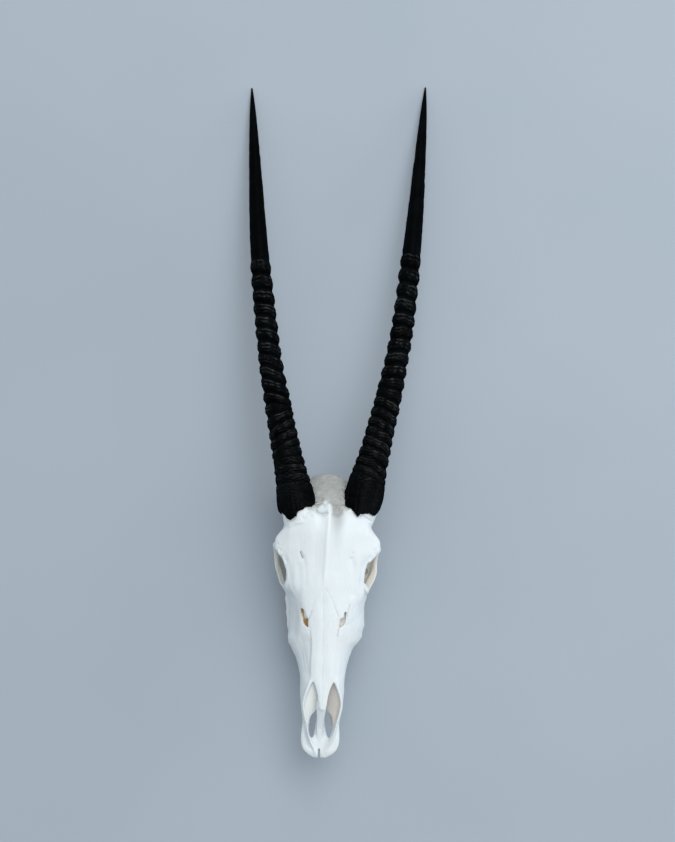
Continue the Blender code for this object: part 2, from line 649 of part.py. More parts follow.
def horn(slide, tip_lift):
    """Left horn sheath: ringed for its lower part, smooth and pointed above, hollow at its foot."""
    base, run = horn_frame(slide)
    route = np.asarray(HORN_ROUTE, float) + np.asarray(run) * slide
    knots = lengths_along(route)
    route[:, 2] += tip_lift * (knots / knots[-1]) ** 2
    crests = [FIRST_RING + RING_PITCH * k + RING_PITCH_GROWTH * k * k for k in range(RING_COUNT)]
    stations = list(COLLAR_STATIONS)
    for before, after in zip(crests, crests[1:]):
        stations += [before, (before + after) / 2]
    stations += [crests[-1], crests[-1] + SMOOTH_AFTER_LAST_RING[0]]
    stations += list(np.linspace(crests[-1] + SMOOTH_AFTER_LAST_RING[1], knots[-1], SMOOTH_STATIONS))
    girth = through([g[0] for g in HORN_GIRTH], [g[1] for g in HORN_GIRTH], np.array(stations))
    turn = np.arange(HORN_SIDES) * math.tau / HORN_SIDES
    rings = []
    for number, (place, radius) in enumerate(zip(stations, girth)):
        here = through(knots, route, [place])[0]
        ahead = through(knots, route, [min(place + 1, knots[-1])])[0]
        behind = through(knots, route, [max(place - 1, 0)])[0]
        way = (ahead - behind) / np.linalg.norm(ahead - behind)
        across = np.cross((0, 0, 1), way)
        across /= np.linalg.norm(across)
        over = np.cross(way, across)
        ringed = FIRST_RING - 1 < place < crests[-1] + 1
        height = 0.0
        if ringed:
            crest = (number - len(COLLAR_STATIONS)) % 2 == 0
            height = RING_HEIGHT / 2 if crest else -RING_HEIGHT / 2
        slant = RING_SLANT if ringed else 0.0
        circle = np.outer(np.cos(turn), across) + np.outer(np.sin(turn), over)
        rings.append(here + circle * (radius + height) + np.outer(np.cos(turn) * radius * slant, way))
    body = loft("horn", rings)
    recess = rod("recess", base - run * 5, base + run * SOCKET_DEPTH, SOCKET_RADIUS, SOCKET_RADIUS)
    return combined(body, recess, overlapping=False)


def ground():
    """Block under the resting skull, which wears its two rear processes flat."""
    bpy.ops.mesh.primitive_cube_add(size=1)
    obj = bpy.context.active_object
    middle = Matrix.Translation((0, GROUND_BLOCK_ALONG, -GROUND_BLOCK[2] / 2))
    level = middle @ Matrix.Diagonal((*GROUND_BLOCK, 1))
    obj.data.transform(rest_matrix().inverted() @ level)
    return obj


def rest_matrix():
    """Turns the face frame onto the ground, nose to -Y, still in millimetres."""
    turn = Matrix.Rotation(REST_TILT, 4, "X")
    return Matrix.Translation((-MIDDLE_ACROSS, -MIDDLE_ALONG, REST_HEIGHT)) @ turn


def material(name, finish):
    """Plain surface of one colour and roughness."""
    colour, roughness = finish
    new = bpy.data.materials.new(name)
    new.use_nodes = True
    shader = new.node_tree.nodes["Principled BSDF"]
    shader.inputs["Base Color"].default_value = (*colour, 1)
    shader.inputs["Roughness"].default_value = roughness
    shader.inputs["Metallic"].default_value = 0
    return new


def placed(obj, name, finish, collection):
    """Puts a finished piece in the collection with its name and material."""
    for owner in list(obj.users_collection):
        owner.objects.unlink(obj)
    collection.objects.link(obj)
    obj.name = name
    obj.data.name = name
    obj.data.materials.clear()
    obj.data.materials.append(finish)
    obj.data.shade_smooth()
    return obj


def main():
    """Builds the skull."""
    for old in list(bpy.data.objects):
        bpy.data.objects.remove(old)
    group = bpy.data.collections.new("gemsbok_skull")
    bpy.context.scene.collection.children.link(group)
    solids = teeth()
    skull = cranium()
    left, right = on_each_side(horn, (LEFT_SLIDE, LEFT_TIP_LIFT), (RIGHT_SLIDE, RIGHT_TIP_LIFT))
    for tooth in solids:
        name = tooth.name
        twin = mirrored(tooth)
        placed(tooth, "left_" + name, material("left_" + name, TOOTH), group)
        placed(twin, "right_" + name, material("right_" + name, TOOTH), group)
    placed(skull, "cranium", material("bone", BONE), group)
    placed(left, "left_horn", material("left_horn_keratin", KERATIN), group)
    placed(right, "right_horn", material("right_horn_keratin", KERATIN), group)
    for piece in group.objects:
        piece.data.transform(Matrix.Scale(MM, 4) @ rest_matrix())


main()
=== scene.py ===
"""Gemsbok skull lying on its horn tips, with its bone, horn and teeth in full detail.

Everything is shaped in the face frame, in millimetres: X to the animal's left,
Y from the muzzle tip along the line of the nose to the back of the head, Z out
of the face. RestPose turns that frame onto the ground, in metres.
"""

import logging
import math
from dataclasses import dataclass, field
from enum import Enum

import bmesh
import bpy
import numpy as np
from mathutils import Matrix, Vector
from mathutils.bvhtree import BVHTree


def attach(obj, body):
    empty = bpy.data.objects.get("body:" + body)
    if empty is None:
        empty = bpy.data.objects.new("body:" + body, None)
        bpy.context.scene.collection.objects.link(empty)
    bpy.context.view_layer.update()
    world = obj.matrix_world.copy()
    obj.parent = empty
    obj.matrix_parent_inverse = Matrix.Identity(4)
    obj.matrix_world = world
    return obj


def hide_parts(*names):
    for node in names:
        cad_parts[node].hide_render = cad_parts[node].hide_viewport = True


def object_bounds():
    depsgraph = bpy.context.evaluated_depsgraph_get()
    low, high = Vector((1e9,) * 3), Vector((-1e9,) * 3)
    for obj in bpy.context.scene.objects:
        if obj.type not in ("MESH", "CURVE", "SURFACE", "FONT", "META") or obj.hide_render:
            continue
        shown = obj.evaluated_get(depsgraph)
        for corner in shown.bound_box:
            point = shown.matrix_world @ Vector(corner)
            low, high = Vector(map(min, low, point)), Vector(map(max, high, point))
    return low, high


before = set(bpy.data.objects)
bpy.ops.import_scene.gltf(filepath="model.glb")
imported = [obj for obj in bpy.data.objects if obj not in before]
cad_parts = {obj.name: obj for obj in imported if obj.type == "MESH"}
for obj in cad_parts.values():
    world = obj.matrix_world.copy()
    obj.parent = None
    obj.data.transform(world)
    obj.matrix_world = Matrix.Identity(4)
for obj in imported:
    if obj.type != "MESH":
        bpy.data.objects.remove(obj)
CAD_BOX = [list(map(float, corner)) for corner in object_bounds()]

MM = 0.001
TINY = 1e-9
UP = (0, 0, 1)
TOOTH_SLOPE = math.radians(18.5)
MUZZLE_ABOVE_TEETH = 12.0
BAR_SIDES = 14
ROD_SIDES = 40
LOG = logging.getLogger("gemsbok_skull")


class Side(Enum):
    """Side of the animal, as the sign of X."""

    LEFT = 1
    RIGHT = -1


class Effect(Enum):
    """Shared shader effects, by the name of their node group."""

    CLOUDS = "soft_clouds"
    GRAIN = "long_grain"
    PORES = "fine_pores"


@dataclass(frozen=True)
class RestPose:
    """How the skull lies: turned about X, lifted, and moved to its middle."""

    tilt: float = math.radians(8.6)
    height: float = 71.4
    along: float = 533.622
    across: float = 1.712

    def matrix(self) -> Matrix:
        """Face frame in millimetres to the ground in metres."""
        move = Matrix.Translation((-self.across, -self.along, self.height))
        return Matrix.Scale(MM, 4) @ move @ Matrix.Rotation(self.tilt, 4, "X")


POSE = RestPose()


# Curves, noise and weights

def through(knots, values, at) -> np.ndarray:
    """Values on a smooth curve through the given ones.

    Args:
        knots: rising places of the given values.
        values: one number or one row for each place.
        at: places to read.

    Returns:
        One number or row for each place in at.
    """
    knots = np.asarray(knots, float)
    values = np.asarray(values, float)
    at = np.clip(np.asarray(at, float), knots[0], knots[-1])
    slope = np.gradient(values, knots, axis=0)
    cell = np.clip(np.searchsorted(knots, at, side="right") - 1, 0, len(knots) - 2)
    width = knots[cell + 1] - knots[cell]
    step = (at - knots[cell]) / width
    if values.ndim > 1:
        step, width = step[:, None], width[:, None]
    rise = step * step * (3 - 2 * step)
    first = values[cell] * (1 - rise) + values[cell + 1] * rise
    lead = slope[cell] * step * (1 - step) ** 2
    trail = slope[cell + 1] * step * step * (step - 1)
    return first + (lead + trail) * width


def read(table, at, key: int = 0, value: int = 1) -> np.ndarray:
    """Smooth value at each place, from a table's columns of places and values."""
    rows = np.array(table, float)
    return through(rows[:, key], rows[:, value], at)


def heading(knots, points, at, reach: float = 0.5) -> np.ndarray:
    """Unit direction of a smooth curve at each of the given places."""
    way = through(knots, points, at + reach) - through(knots, points, at - reach)
    return way / (np.linalg.norm(way, axis=1)[:, None] + TINY)


def side_and_top(way: np.ndarray, upright=UP) -> tuple:
    """Unit directions to the right of each way and over it.

    Args:
        way: unit directions of travel.
        upright: rough direction of the top side.

    Returns:
        The directions to the right and over, one row each.
    """
    across = np.cross(way, np.asarray(upright, float))
    across /= np.linalg.norm(across, axis=-1, keepdims=True)
    return across, np.cross(across, way)


def lengths_along(points, power: float = 1.0) -> np.ndarray:
    """Running length of a broken line at each of its points."""
    legs = np.linalg.norm(np.diff(points, axis=0), axis=1) ** power
    return np.concatenate(([0.0], np.cumsum(legs)))


def from_teeth(side: float, along: float, up: float) -> tuple:
    """Face-frame point of a place given beside, along and above the tooth plane.

    Args:
        side: distance to the left of the middle.
        along: distance back from the muzzle tip.
        up: height over the tooth plane.

    Returns:
        X, Y and Z in the face frame.
    """
    up = up - MUZZLE_ABOVE_TEETH
    slope_cos = math.cos(TOOTH_SLOPE)
    slope_sin = math.sin(TOOTH_SLOPE)
    return (side, along * slope_cos + up * slope_sin, up * slope_cos - along * slope_sin)


def over_teeth(*points) -> list:
    """Face-frame points of places given by the tooth plane."""
    return [from_teeth(*point) for point in points]


def lattice(cell: np.ndarray, seed: int) -> np.ndarray:
    """Fixed random number between -1 and 1 for each whole-number cell."""
    with np.errstate(over="ignore"):
        mix = cell @ np.array((374761393, 668265263, 1440662683)) + seed * 974634777 & 0xFFFFFFFF
        mix = (mix ^ (mix >> 13)) * 1274126177 & 0xFFFFFFFF
    return (mix ^ (mix >> 16)) / 2147483647.5 - 1.0


def noise(points: np.ndarray, size, seed: int = 0, octaves: int = 1) -> np.ndarray:
    """Smooth random field between about -1 and 1.

    Args:
        points: places, one row each.
        size: size of the largest lumps, one number or one for each axis.
        seed: picks the field.
        octaves: how many ever finer layers are added.

    Returns:
        One number for each place.
    """
    total = np.zeros(len(points))
    weight = 1.0
    scaled = points / np.asarray(size, float)
    for layer in range(octaves):
        base = np.floor(scaled).astype(np.int64)
        part = scaled - base
        part = part * part * (3 - 2 * part)
        value = np.zeros(len(points))
        for corner in range(8):
            offset = np.array([corner & 1, corner >> 1 & 1, corner >> 2 & 1])
            share = np.prod(np.where(offset, part, 1 - part), axis=1)
            value += share * lattice(base + offset, seed + 31 * layer)
        total += value * weight
        weight *= 0.5
        scaled = scaled * 2.03 + 11.7
    return total


def bump(distance: np.ndarray, width: float) -> np.ndarray:
    """Bell-shaped weight: 1 at no distance, falling away over width."""
    return np.exp(-(distance / width) ** 2)


def ramp(value: np.ndarray, low: float, high: float) -> np.ndarray:
    """Smooth step from 0 at low to 1 at high."""
    part = np.clip((value - low) / (high - low), 0, 1)
    return part * part * (3 - 2 * part)


def between(value: np.ndarray, start: float, full: float, last: float, end: float) -> np.ndarray:
    """Smooth weight that is 1 from full to last, and 0 before start and after end."""
    return ramp(value, start, full) * (1 - ramp(value, last, end))


def line_distance(places: np.ndarray, path) -> np.ndarray:
    """Distance from a broken line, seen along Z.

    Args:
        places: points, one row each, of which X and Y count.
        path: corners of the line, of which X and Y count.

    Returns:
        One distance for each point.
    """
    flat = places[:, :2]
    path = np.asarray(path, float)[:, :2]
    best = np.full(len(flat), np.inf)
    for start, end in zip(path, path[1:]):
        leg = end - start
        share = np.clip(((flat - start) @ leg) / (leg @ leg), 0, 1)
        gap = flat - start - share[:, None] * leg
        best = np.minimum(best, np.einsum("ij,ij->i", gap, gap))
    return np.sqrt(best)


def stripe(places: np.ndarray, path, width: float) -> np.ndarray:
    """Bell-shaped weight across a broken line."""
    return bump(line_distance(places, path), width)


def spot(places: np.ndarray, middle, width: float, stretch: float = 1.0) -> np.ndarray:
    """Bell-shaped weight round a point, drawn out along the last axis by stretch.

    Args:
        places: points in the face frame.
        middle: middle of the spot, with as many axes as count.
        width: how wide the bell is.
        stretch: how many times longer it is along the last axis.

    Returns:
        One weight from 0 to 1 for each point.
    """
    gap = places[:, :len(middle)] - middle
    gap[:, -1] /= stretch
    return bump(np.linalg.norm(gap, axis=1), width)


def jagged(path, step: float, reach: float, seed: int) -> np.ndarray:
    """The line through some points, broken into short uneven zigzags like a seam between bones.

    Args:
        path: points of the plain line, as X and Y.
        step: length of one zigzag.
        reach: how far a zigzag leaves the line.
        seed: picks the unevenness.

    Returns:
        Points of the broken line, one row each.
    """
    knots = lengths_along(path)
    places = np.arange(0, knots[-1] + step, step)
    ahead = heading(knots, path, places)
    count = np.arange(len(places))
    key = np.column_stack((count * 1.0, count * 0.0, count * 0.0))
    swing = np.where(count % 2, 1.0, -1.0) * (0.55 + 0.45 * noise(key, 0.9, seed))
    swing += 0.5 * noise(key, 5.0, seed + 7)
    return through(knots, path, places) + ahead[:, ::-1] * (-1, 1) * (swing * reach)[:, None]


def wrapped(angle: np.ndarray, size, height: np.ndarray) -> np.ndarray:
    """Places on a tube, where noise is read."""
    return np.column_stack((np.cos(angle) * size, np.sin(angle) * size, height))


# Building meshes

def new_object(data, name: str = "part") -> bpy.types.Object:
    """Object for a mesh, light or camera, placed in the scene.

    Args:
        data: what the object holds.
        name: its name.

    Returns:
        The object.
    """
    obj = bpy.data.objects.new(name, data)
    bpy.context.scene.collection.objects.link(obj)
    return obj


def mesh_object(points, faces) -> bpy.types.Object:
    """New object of the given points and faces, faces turned outward.

    Args:
        points: places of the points.
        faces: point numbers of each face.

    Returns:
        The object.
    """
    mesh = bpy.data.meshes.new("part")
    mesh.from_pydata([tuple(point) for point in points], [], faces)
    work = bmesh.new()
    work.from_mesh(mesh)
    bmesh.ops.recalc_face_normals(work, faces=work.faces)
    work.to_mesh(mesh)
    work.free()
    return new_object(mesh)


def bands(levels: int, count: int, closed: bool = False) -> list:
    """Faces of a tube through rings of count points each.

    Args:
        levels: how many rings there are.
        count: points in each ring.
        closed: whether the last ring joins the first.

    Returns:
        Four point numbers for each face.
    """
    faces = []
    for level in range(levels if closed else levels - 1):
        low, high = level * count, (level + 1) % levels * count
        for corner in range(count):
            after = (corner + 1) % count
            faces.append((low + corner, low + after, high + after, high + corner))
    return faces


def loft(rings) -> bpy.types.Object:
    """Closed body through rings of equal point count, with a fan at each end.

    Args:
        rings: the rings in order, each with its points in order.

    Returns:
        The body.
    """
    count = len(rings[0])
    points = np.vstack([*rings, np.mean(rings[0], axis=0)[None], np.mean(rings[-1], axis=0)[None]])
    faces = bands(len(rings), count)
    centre = len(rings) * count
    last = centre - count
    for corner in range(count):
        after = (corner + 1) % count
        faces += [(after, corner, centre), (last + corner, last + after, centre + 1)]
    return mesh_object(points, faces)


def face_ring(along: float, row: np.ndarray, per_span: int) -> np.ndarray:
    """Closed smooth ring at one place along the face, through a half outline and its mirror image.

    Args:
        along: Y of the ring.
        row: one station without its place, as in the tables.
        per_span: points between two corners.

    Returns:
        Points of the ring, one row each.
    """
    half = np.concatenate(([0], row[:-1], [0], row[-1:])).reshape(-1, 2)
    closed = np.vstack((half, half[1:-1][::-1] * (-1, 1)))
    padded = np.vstack((closed[-3:], closed, closed[:4]))
    knots = lengths_along(padded, power=0.7)
    at = np.concatenate([np.linspace(low, high, per_span, endpoint=False)
                         for low, high in zip(knots[3:-4], knots[4:-3])])
    flat = through(knots, padded, at)
    return np.column_stack((flat[:, 0], np.full(len(flat), along), flat[:, 1]))


def section_loft(stations, spacing: float = 4.0, per_span: int = 6) -> bpy.types.Object:
    """Body through half outlines given at places along the face; the ones between are worked out.

    Args:
        stations: for each place its Y, the top's height, X and Z of the outline's corners from
            top to bottom, and the bottom's height.
        spacing: distance between the rings.
        per_span: ring points from one corner to the next.

    Returns:
        The new object.
    """
    rows = np.array(stations, float)
    first, last = rows[0, 0], rows[-1, 0]
    places = np.linspace(first, last, max(2, int(round((last - first) / spacing)) + 1))
    shapes = through(rows[:, 0], rows[:, 1:], places)
    return loft([face_ring(place, shape, per_span) for place, shape in zip(places, shapes)])


def sweep(points, breadths, heights, upright=UP, ring: bool = False) -> bpy.types.Object:
    """Bar of oval section along a smooth curve.

    Args:
        points: places that the bar runs through.
        breadths: half widths across the curve, one for each place or one for all.
        heights: half widths along upright, one for each place or one for all.
        upright: direction that the heights keep to.
        ring: whether the bar closes on itself.

    Returns:
        The new object.
    """
    rows = np.zeros((len(points), 5))
    rows[:, :3], rows[:, 3], rows[:, 4] = points, breadths, heights
    if ring:
        rows = np.vstack((rows[-2:], rows, rows[:3]))
    knots = lengths_along(rows[:, :3])
    start, stop = (knots[2], knots[-3]) if ring else (0.0, knots[-1])
    count = max(5, int((stop - start) / 3) + 2)
    at = np.linspace(start, stop, count, endpoint=not ring)
    across, over = side_and_top(heading(knots, rows[:, :3], at), upright)
    turn = np.arange(BAR_SIDES) * math.tau / BAR_SIDES
    rings = through(knots, rows, at)[:, None]
    rings = (rings[..., :3] + across[:, None] * (np.cos(turn) * rings[..., 3])[..., None]
             + over[:, None] * (np.sin(turn) * rings[..., 4])[..., None])
    if not ring:
        return loft(rings)
    return mesh_object(rings.reshape(-1, 3), bands(count, BAR_SIDES, closed=True))


def blob(centre, radii, tilt: float = -TOOTH_SLOPE, yaw: float = 0.0) -> bpy.types.Object:
    """Egg-shaped lump; radii lie across, along and above the tooth plane unless tilt says otherwise.

    Args:
        centre: its middle.
        radii: its three radii.
        tilt: turn about X.
        yaw: turn about Z, after the tilt.

    Returns:
        The body.
    """
    bpy.ops.mesh.primitive_uv_sphere_add(segments=40, ring_count=24, radius=1.0)
    obj = bpy.context.active_object
    turn = Matrix.Rotation(yaw, 4, "Z") @ Matrix.Rotation(tilt, 4, "X")
    obj.data.transform(Matrix.Translation(Vector(centre)) @ turn @ Matrix.Diagonal((*radii, 1.0)))
    return obj


def rod(start, end, start_radius: float, end_radius: float) -> bpy.types.Object:
    """Round bar between two points, with its own radius at each end.

    Args:
        start: middle of the first end.
        end: middle of the other end.
        start_radius: radius at the first end.
        end_radius: radius at the other end.

    Returns:
        The body.
    """
    start, end = Vector(start), Vector(end)
    bpy.ops.mesh.primitive_cone_add(vertices=ROD_SIDES, radius1=start_radius, radius2=end_radius,
                                    depth=(end - start).length)
    obj = bpy.context.active_object
    turn = (end - start).to_track_quat("Z", "Y").to_matrix().to_4x4()
    obj.data.transform(Matrix.Translation((start + end) / 2) @ turn)
    return obj


def prism(outline, low: float, high: float) -> bpy.types.Object:
    """Upright body with the given outline, between two heights."""
    flat = np.asarray(outline, float)
    return loft([np.column_stack((flat, np.full(len(flat), height))) for height in (low, high)])


def on_side(obj: bpy.types.Object, side: Side) -> bpy.types.Object:
    """A left body put on the wanted side."""
    if side is Side.RIGHT:
        obj.data.transform(Matrix.Scale(-1, 4, (1, 0, 0)))
        obj.data.flip_normals()
    return obj


def both_sides(*bodies) -> list:
    """Each left body and its mirror image."""
    return [half for obj in bodies for half in (obj, on_side(new_object(obj.data.copy()), Side.RIGHT))]


def joined(bodies) -> bpy.types.Object:
    """One object that holds all the bodies, which may still pass through each other.

    Args:
        bodies: the bodies, which are used up.

    Returns:
        The new object.
    """
    work = bmesh.new()
    for body in bodies:
        work.from_mesh(body.data)
        bpy.data.objects.remove(body)
    mesh = bpy.data.meshes.new("part")
    work.to_mesh(mesh)
    work.free()
    return new_object(mesh)


def reshaped(obj: bpy.types.Object, kind: str, **settings) -> bpy.types.Object:
    """The object with one modifier worked into its mesh.

    Args:
        obj: the object.
        kind: the modifier's type.
        settings: its options.

    Returns:
        The same object.
    """
    modifier = obj.modifiers.new(kind, kind)
    for name, value in settings.items():
        setattr(modifier, name, value)
    mesh = bpy.data.meshes.new_from_object(obj.evaluated_get(bpy.context.evaluated_depsgraph_get()))
    obj.modifiers.clear()
    obj.data = mesh
    return obj


def less(obj: bpy.types.Object, cutter: bpy.types.Object) -> bpy.types.Object:
    """The object with the cutter taken out of it.

    Args:
        obj: what is cut.
        cutter: what is taken out, which is used up.

    Returns:
        The same object.
    """
    reshaped(obj, "BOOLEAN", operation="DIFFERENCE", solver="EXACT", use_self=True, object=cutter)
    bpy.data.objects.remove(cutter)
    return obj


def rows_of(items, key: str) -> np.ndarray:
    """One row of three numbers for each item of a mesh.

    Args:
        items: the mesh's items.
        key: which of their values is read.

    Returns:
        One row for each item.
    """
    rows = np.empty(len(items) * 3, np.float32)
    items.foreach_get(key, rows)
    return rows.reshape(-1, 3).astype(float)


def points_of(obj: bpy.types.Object) -> np.ndarray:
    """Places of all vertices, one row each."""
    return rows_of(obj.data.vertices, "co")


def normals_of(obj: bpy.types.Object) -> np.ndarray:
    """Vertex normals, one row each."""
    return rows_of(obj.data.vertex_normals, "vector")


def put_points(obj: bpy.types.Object, places: np.ndarray) -> None:
    """Moves all vertices to the given places."""
    obj.data.vertices.foreach_set("co", places.astype(np.float32).ravel())
    obj.data.update()


def keep_masks(obj: bpy.types.Object, masks: dict) -> None:
    """Stores one number for each vertex under each name, for the materials to read."""
    for name, values in masks.items():
        layer = obj.data.attributes.new(name, "FLOAT", "POINT")
        layer.data.foreach_set("value", np.clip(values, 0, 1).astype(np.float32))


def on_ground(obj: bpy.types.Object, name: str) -> bpy.types.Object:
    """Turns a finished piece from the face frame onto the ground, kept inside the plain parts' box.

    Args:
        obj: the object.
        name: the finished piece's name.

    Returns:
        The same object, in metres.
    """
    obj.data.transform(POSE.matrix())
    low, high = CAD_BOX
    put_points(obj, np.clip(points_of(obj), (low[0], low[1], 0.0), high))
    obj.data.shade_smooth()
    obj.name = obj.data.name = name
    return obj


def hollowness(obj: bpy.types.Object, reach: float, rays: int) -> np.ndarray:
    """How shut in each vertex is, from 0 in the open to 1 deep in a hollow.

    Args:
        obj: the object, which shades only itself.
        reach: how far away a wall still counts.
        rays: directions tried from each vertex.

    Returns:
        The share of directions out of the surface that soon meet a wall.
    """
    mesh = obj.data
    mesh.calc_loop_triangles()
    corners = np.empty(len(mesh.loop_triangles) * 3, np.int32)
    mesh.loop_triangles.foreach_get("vertices", corners)
    places, normals = points_of(obj), normals_of(obj)
    tree = BVHTree.FromPolygons(places.tolist(), corners.reshape(-1, 3).tolist(), all_triangles=True)
    steps = np.arange(rays) + 0.5
    height = 1 - 2 * steps / rays
    turn = steps * math.pi * (3 - math.sqrt(5))
    level = np.sqrt(1 - height * height)
    starts = (places + normals * 0.35).tolist()
    met = np.zeros(len(places))
    for spoke in wrapped(turn, level, height):
        ways = normals + spoke * 0.97
        ways /= np.linalg.norm(ways, axis=1)[:, None] + TINY
        hits = [tree.ray_cast(start, way, reach)[3] for start, way in zip(starts, ways.tolist())]
        met += 1 - np.array([reach if hit is None else hit for hit in hits]) / reach
    return met / rays


# Half outlines at places along the face. Each row holds the place, the height of the crest, X and Z of
# shoulder, widest point, outer lower edge and inner lower edge, and the height of the underside

FACE_STATIONS = (
    (1, 1, 5, 1, 10, -2, 8, -6, 5, -7, -6), (6, 2, 10, 2, 18, -1, 14, -8, 8, -9, -7),
    (12, 3, 13, 3, 23.5, -1, 18, -9.5, 10, -10, -7.5),
    (20, 3.5, 17, 3, 26.8, -1.5, 21, -11.5, 12, -11.5, -8),
    (33, 5, 21, 4.5, 27.5, -1.5, 22, -15, 13, -15, -10), (51, 9, 22, 8.5, 26.3, 0, 22, -19, 14, -19, -13),
    (68, 14, 24, 14, 29, 2, 22.5, -24, 15, -24, -17), (90, 22, 21, 20, 31.5, -2, 23, -30, 16, -30, -22),
    (120, 24.5, 19, 21, 32.8, -10, 27, -37, 19, -37, -28),
    (140, 24.6, 20, 20.5, 37.5, -20, 34, -42, 20, -42, -32),
    (154, 24.6, 21, 20, 42.5, -28, 38, -47, 22, -47, -36),
    (161, 24.6, 22, 19.5, 46.5, -30, 40, -49, 23, -49, -37),
    (167, 24.6, 23, 19, 52.5, -31, 42, -52, 24, -52, -39),
    (173, 24.6, 24, 18.5, 55, -31.5, 43, -54, 24.5, -54, -41),
    (185, 24.6, 27, 17.5, 55.3, -32, 45, -58, 25, -58, -45),
    (210, 24.8, 35, 15, 55.5, -33, 47, -66, 26, -66, -53),
    (232, 25, 43, 12, 57.5, -33, 46, -73, 27, -73, -60),
    (244, 25, 48, 10, 57, -32, 40, -72, 26, -73, -62),
)
CORE_STATIONS = (
    (222, 20, 30, 15, 34, -10, 26, -36, 14, -44, -42), (250, 22, 28, 17, 28, -8, 22, -30, 12, -38, -38),
    (275, 24, 27, 18, 24, -10, 20, -34, 12, -44, -44), (300, 26, 30, 18, 28, -15, 24, -42, 14, -54, -54),
    (325, 26, 34, 16, 36, -25, 30, -54, 16, -66, -66), (352, 16, 34, 4, 40, -35, 34, -66, 16, -78, -79),
)
FOREHEAD_STATIONS = (
    (212, 24.5, 24, 19, 38, 10, 40, 5, 34, 2, 12), (232, 25.5, 28, 20, 47, 9, 52, 3, 44, -2, 12),
    (245, 26, 30, 21, 50, 10, 56, 4, 50, 0, 13), (258, 26.5, 31, 22, 52, 11, 58.5, 6, 52, 2, 13),
    (270, 27, 32, 22.5, 54, 12, 60, 7, 54, 3, 13), (283, 28, 33, 23, 57, 12, 64, 6, 57, 2, 13),
    (294, 28.5, 34, 23, 60, 11, 71, 2, 61, -3, 12), (306, 29, 35, 23, 62, 9, 77, -4, 62, -13, 6),
    (314, 29.5, 36, 23, 62, 9, 75.5, -4, 56, -17, 2), (323, 29.5, 37, 23, 60, 11, 68.5, -3, 51, -21, -2),
    (333, 28.5, 38, 22, 56, 12, 62, -3, 46, -25, -6), (344, 25, 38, 20, 55, 11, 62, -6, 46, -28, -12),
    (353, 20.5, 30, 16, 46, 7, 54, -9, 42, -28, -18), (363, 11, 22, 8, 34, 1, 40, -14, 34, -30, -26),
)
CROWN_STATIONS = (
    (338, 18, 20, 15, 38, 0, 40, -20, 30, -40, -44), (356, 14, 18, 11, 36, -6, 41, -26, 34, -50, -60),
    (370, 3, 18, 0, 34, -14, 40, -34, 36, -60, -75), (385, -11, 19, -15, 34, -29, 39, -46, 36, -66, -80),
    (397, -26, 18, -30, 31, -42, 34, -52, 29, -62, -68),
    (407, -42, 10, -43, 18, -46, 19, -49, 12, -51, -51),
)
NOSE_STATIONS = (
    (12, 4, 3, 4, 5, 2.2, 4, 0.9, 2.5, 0.6, 0.6), (24, 6, 6, 6, 11, 2.5, 8.5, -0.3, 5, -1, -1),
    (36, 8, 12, 8, 19.5, 1, 16, -5.5, 9, -6.5, -5), (51, 14, 14, 12, 21.5, 1, 17, -11, 10, -13, -9),
    (68, 18, 17, 15, 24.5, 0, 18, -14, 12, -17, -12), (90, 19, 17, 16, 27, -2, 20, -19, 13, -22, -16),
    (120, 19.5, 15, 16.5, 27.5, -8, 22, -27, 14, -29, -22),
    (155, 19, 16, 15, 32, -16, 25, -34, 15, -38, -30), (185, 18, 23, 12, 42, -18, 28, -36, 17, -45, -38),
    (212, 15, 28, 9, 44, -14, 28, -38, 16, -50, -45), (230, 6, 16, 2, 24, -14, 20, -36, 14, -52, -52),
)
NOSTRIL_STATIONS = (
    (5, 30, 1.5, 30, 2, 20, 2, 6, 1.5, 2, 2), (12, 30, 5, 30, 6.5, 20, 6, 6, 4, 1, 1),
    (24, 34, 11, 34, 13, 20, 12.5, 6, 9, 1, 0.5), (40, 40, 16, 40, 18, 20, 17.5, 6, 13, 1, 1),
    (54, 40, 18.5, 40, 20.6, 20, 20, 6, 15, 2, 2), (66, 40, 21, 40, 23.5, 20, 23, 8, 17, 4, 4),
    (78, 40, 22.5, 40, 25.2, 24, 24.5, 11, 18, 7, 7), (88, 40, 21, 40, 23.8, 24, 23, 12, 18, 9, 9),
    (100, 40, 18, 40, 19.8, 24, 19, 14, 16, 11, 11), (114, 40, 13, 40, 14, 24, 13.5, 16, 12, 14, 14),
)
REAR_NOSTRIL_STATIONS = (
    (222, -38, 7, -38, 10, -46, 10, -60, 6, -90, -90), (236, -36, 8, -36, 12, -46, 13, -60, 11, -90, -90),
    (255, -38, 8, -38, 12, -46, 13, -60, 12, -90, -90),
    (285, -52, 6, -52, 10, -58, 11, -66, 10, -90, -90),
)
NASAL_WIDTHS = (
    (70.5, 4.2, 24), (75, 5.8, 24.3), (80, 6.4, 24.5), (89, 7.4, 24.6), (98, 9.4, 24.7), (106, 12.6, 24.8),
    (113, 16, 24.6), (135, 16.5, 24.4),
)

ORBIT_RIM = (
    (57, 243, -8), (57, 255, 3), (58.5, 270, 5.5), (63, 285, 4), (71.5, 299, -4), (73.5, 303, -18),
    (72.5, 297, -34), (72, 284, -43), (71, 268, -43), (65, 253, -36), (58.5, 243.5, -23),
)

# Edge of the nostril opening on the left side
NOSTRIL_EDGE = (
    (3.5, 4, 0), (8.5, 12, 1.5), (15, 24, 4), (19.6, 40, 8), (22.4, 54, 11), (25.4, 66, 14), (27.2, 78, 16),
    (25.8, 88, 17.5), (22, 100, 18.8), (17, 114, 19.5),
)

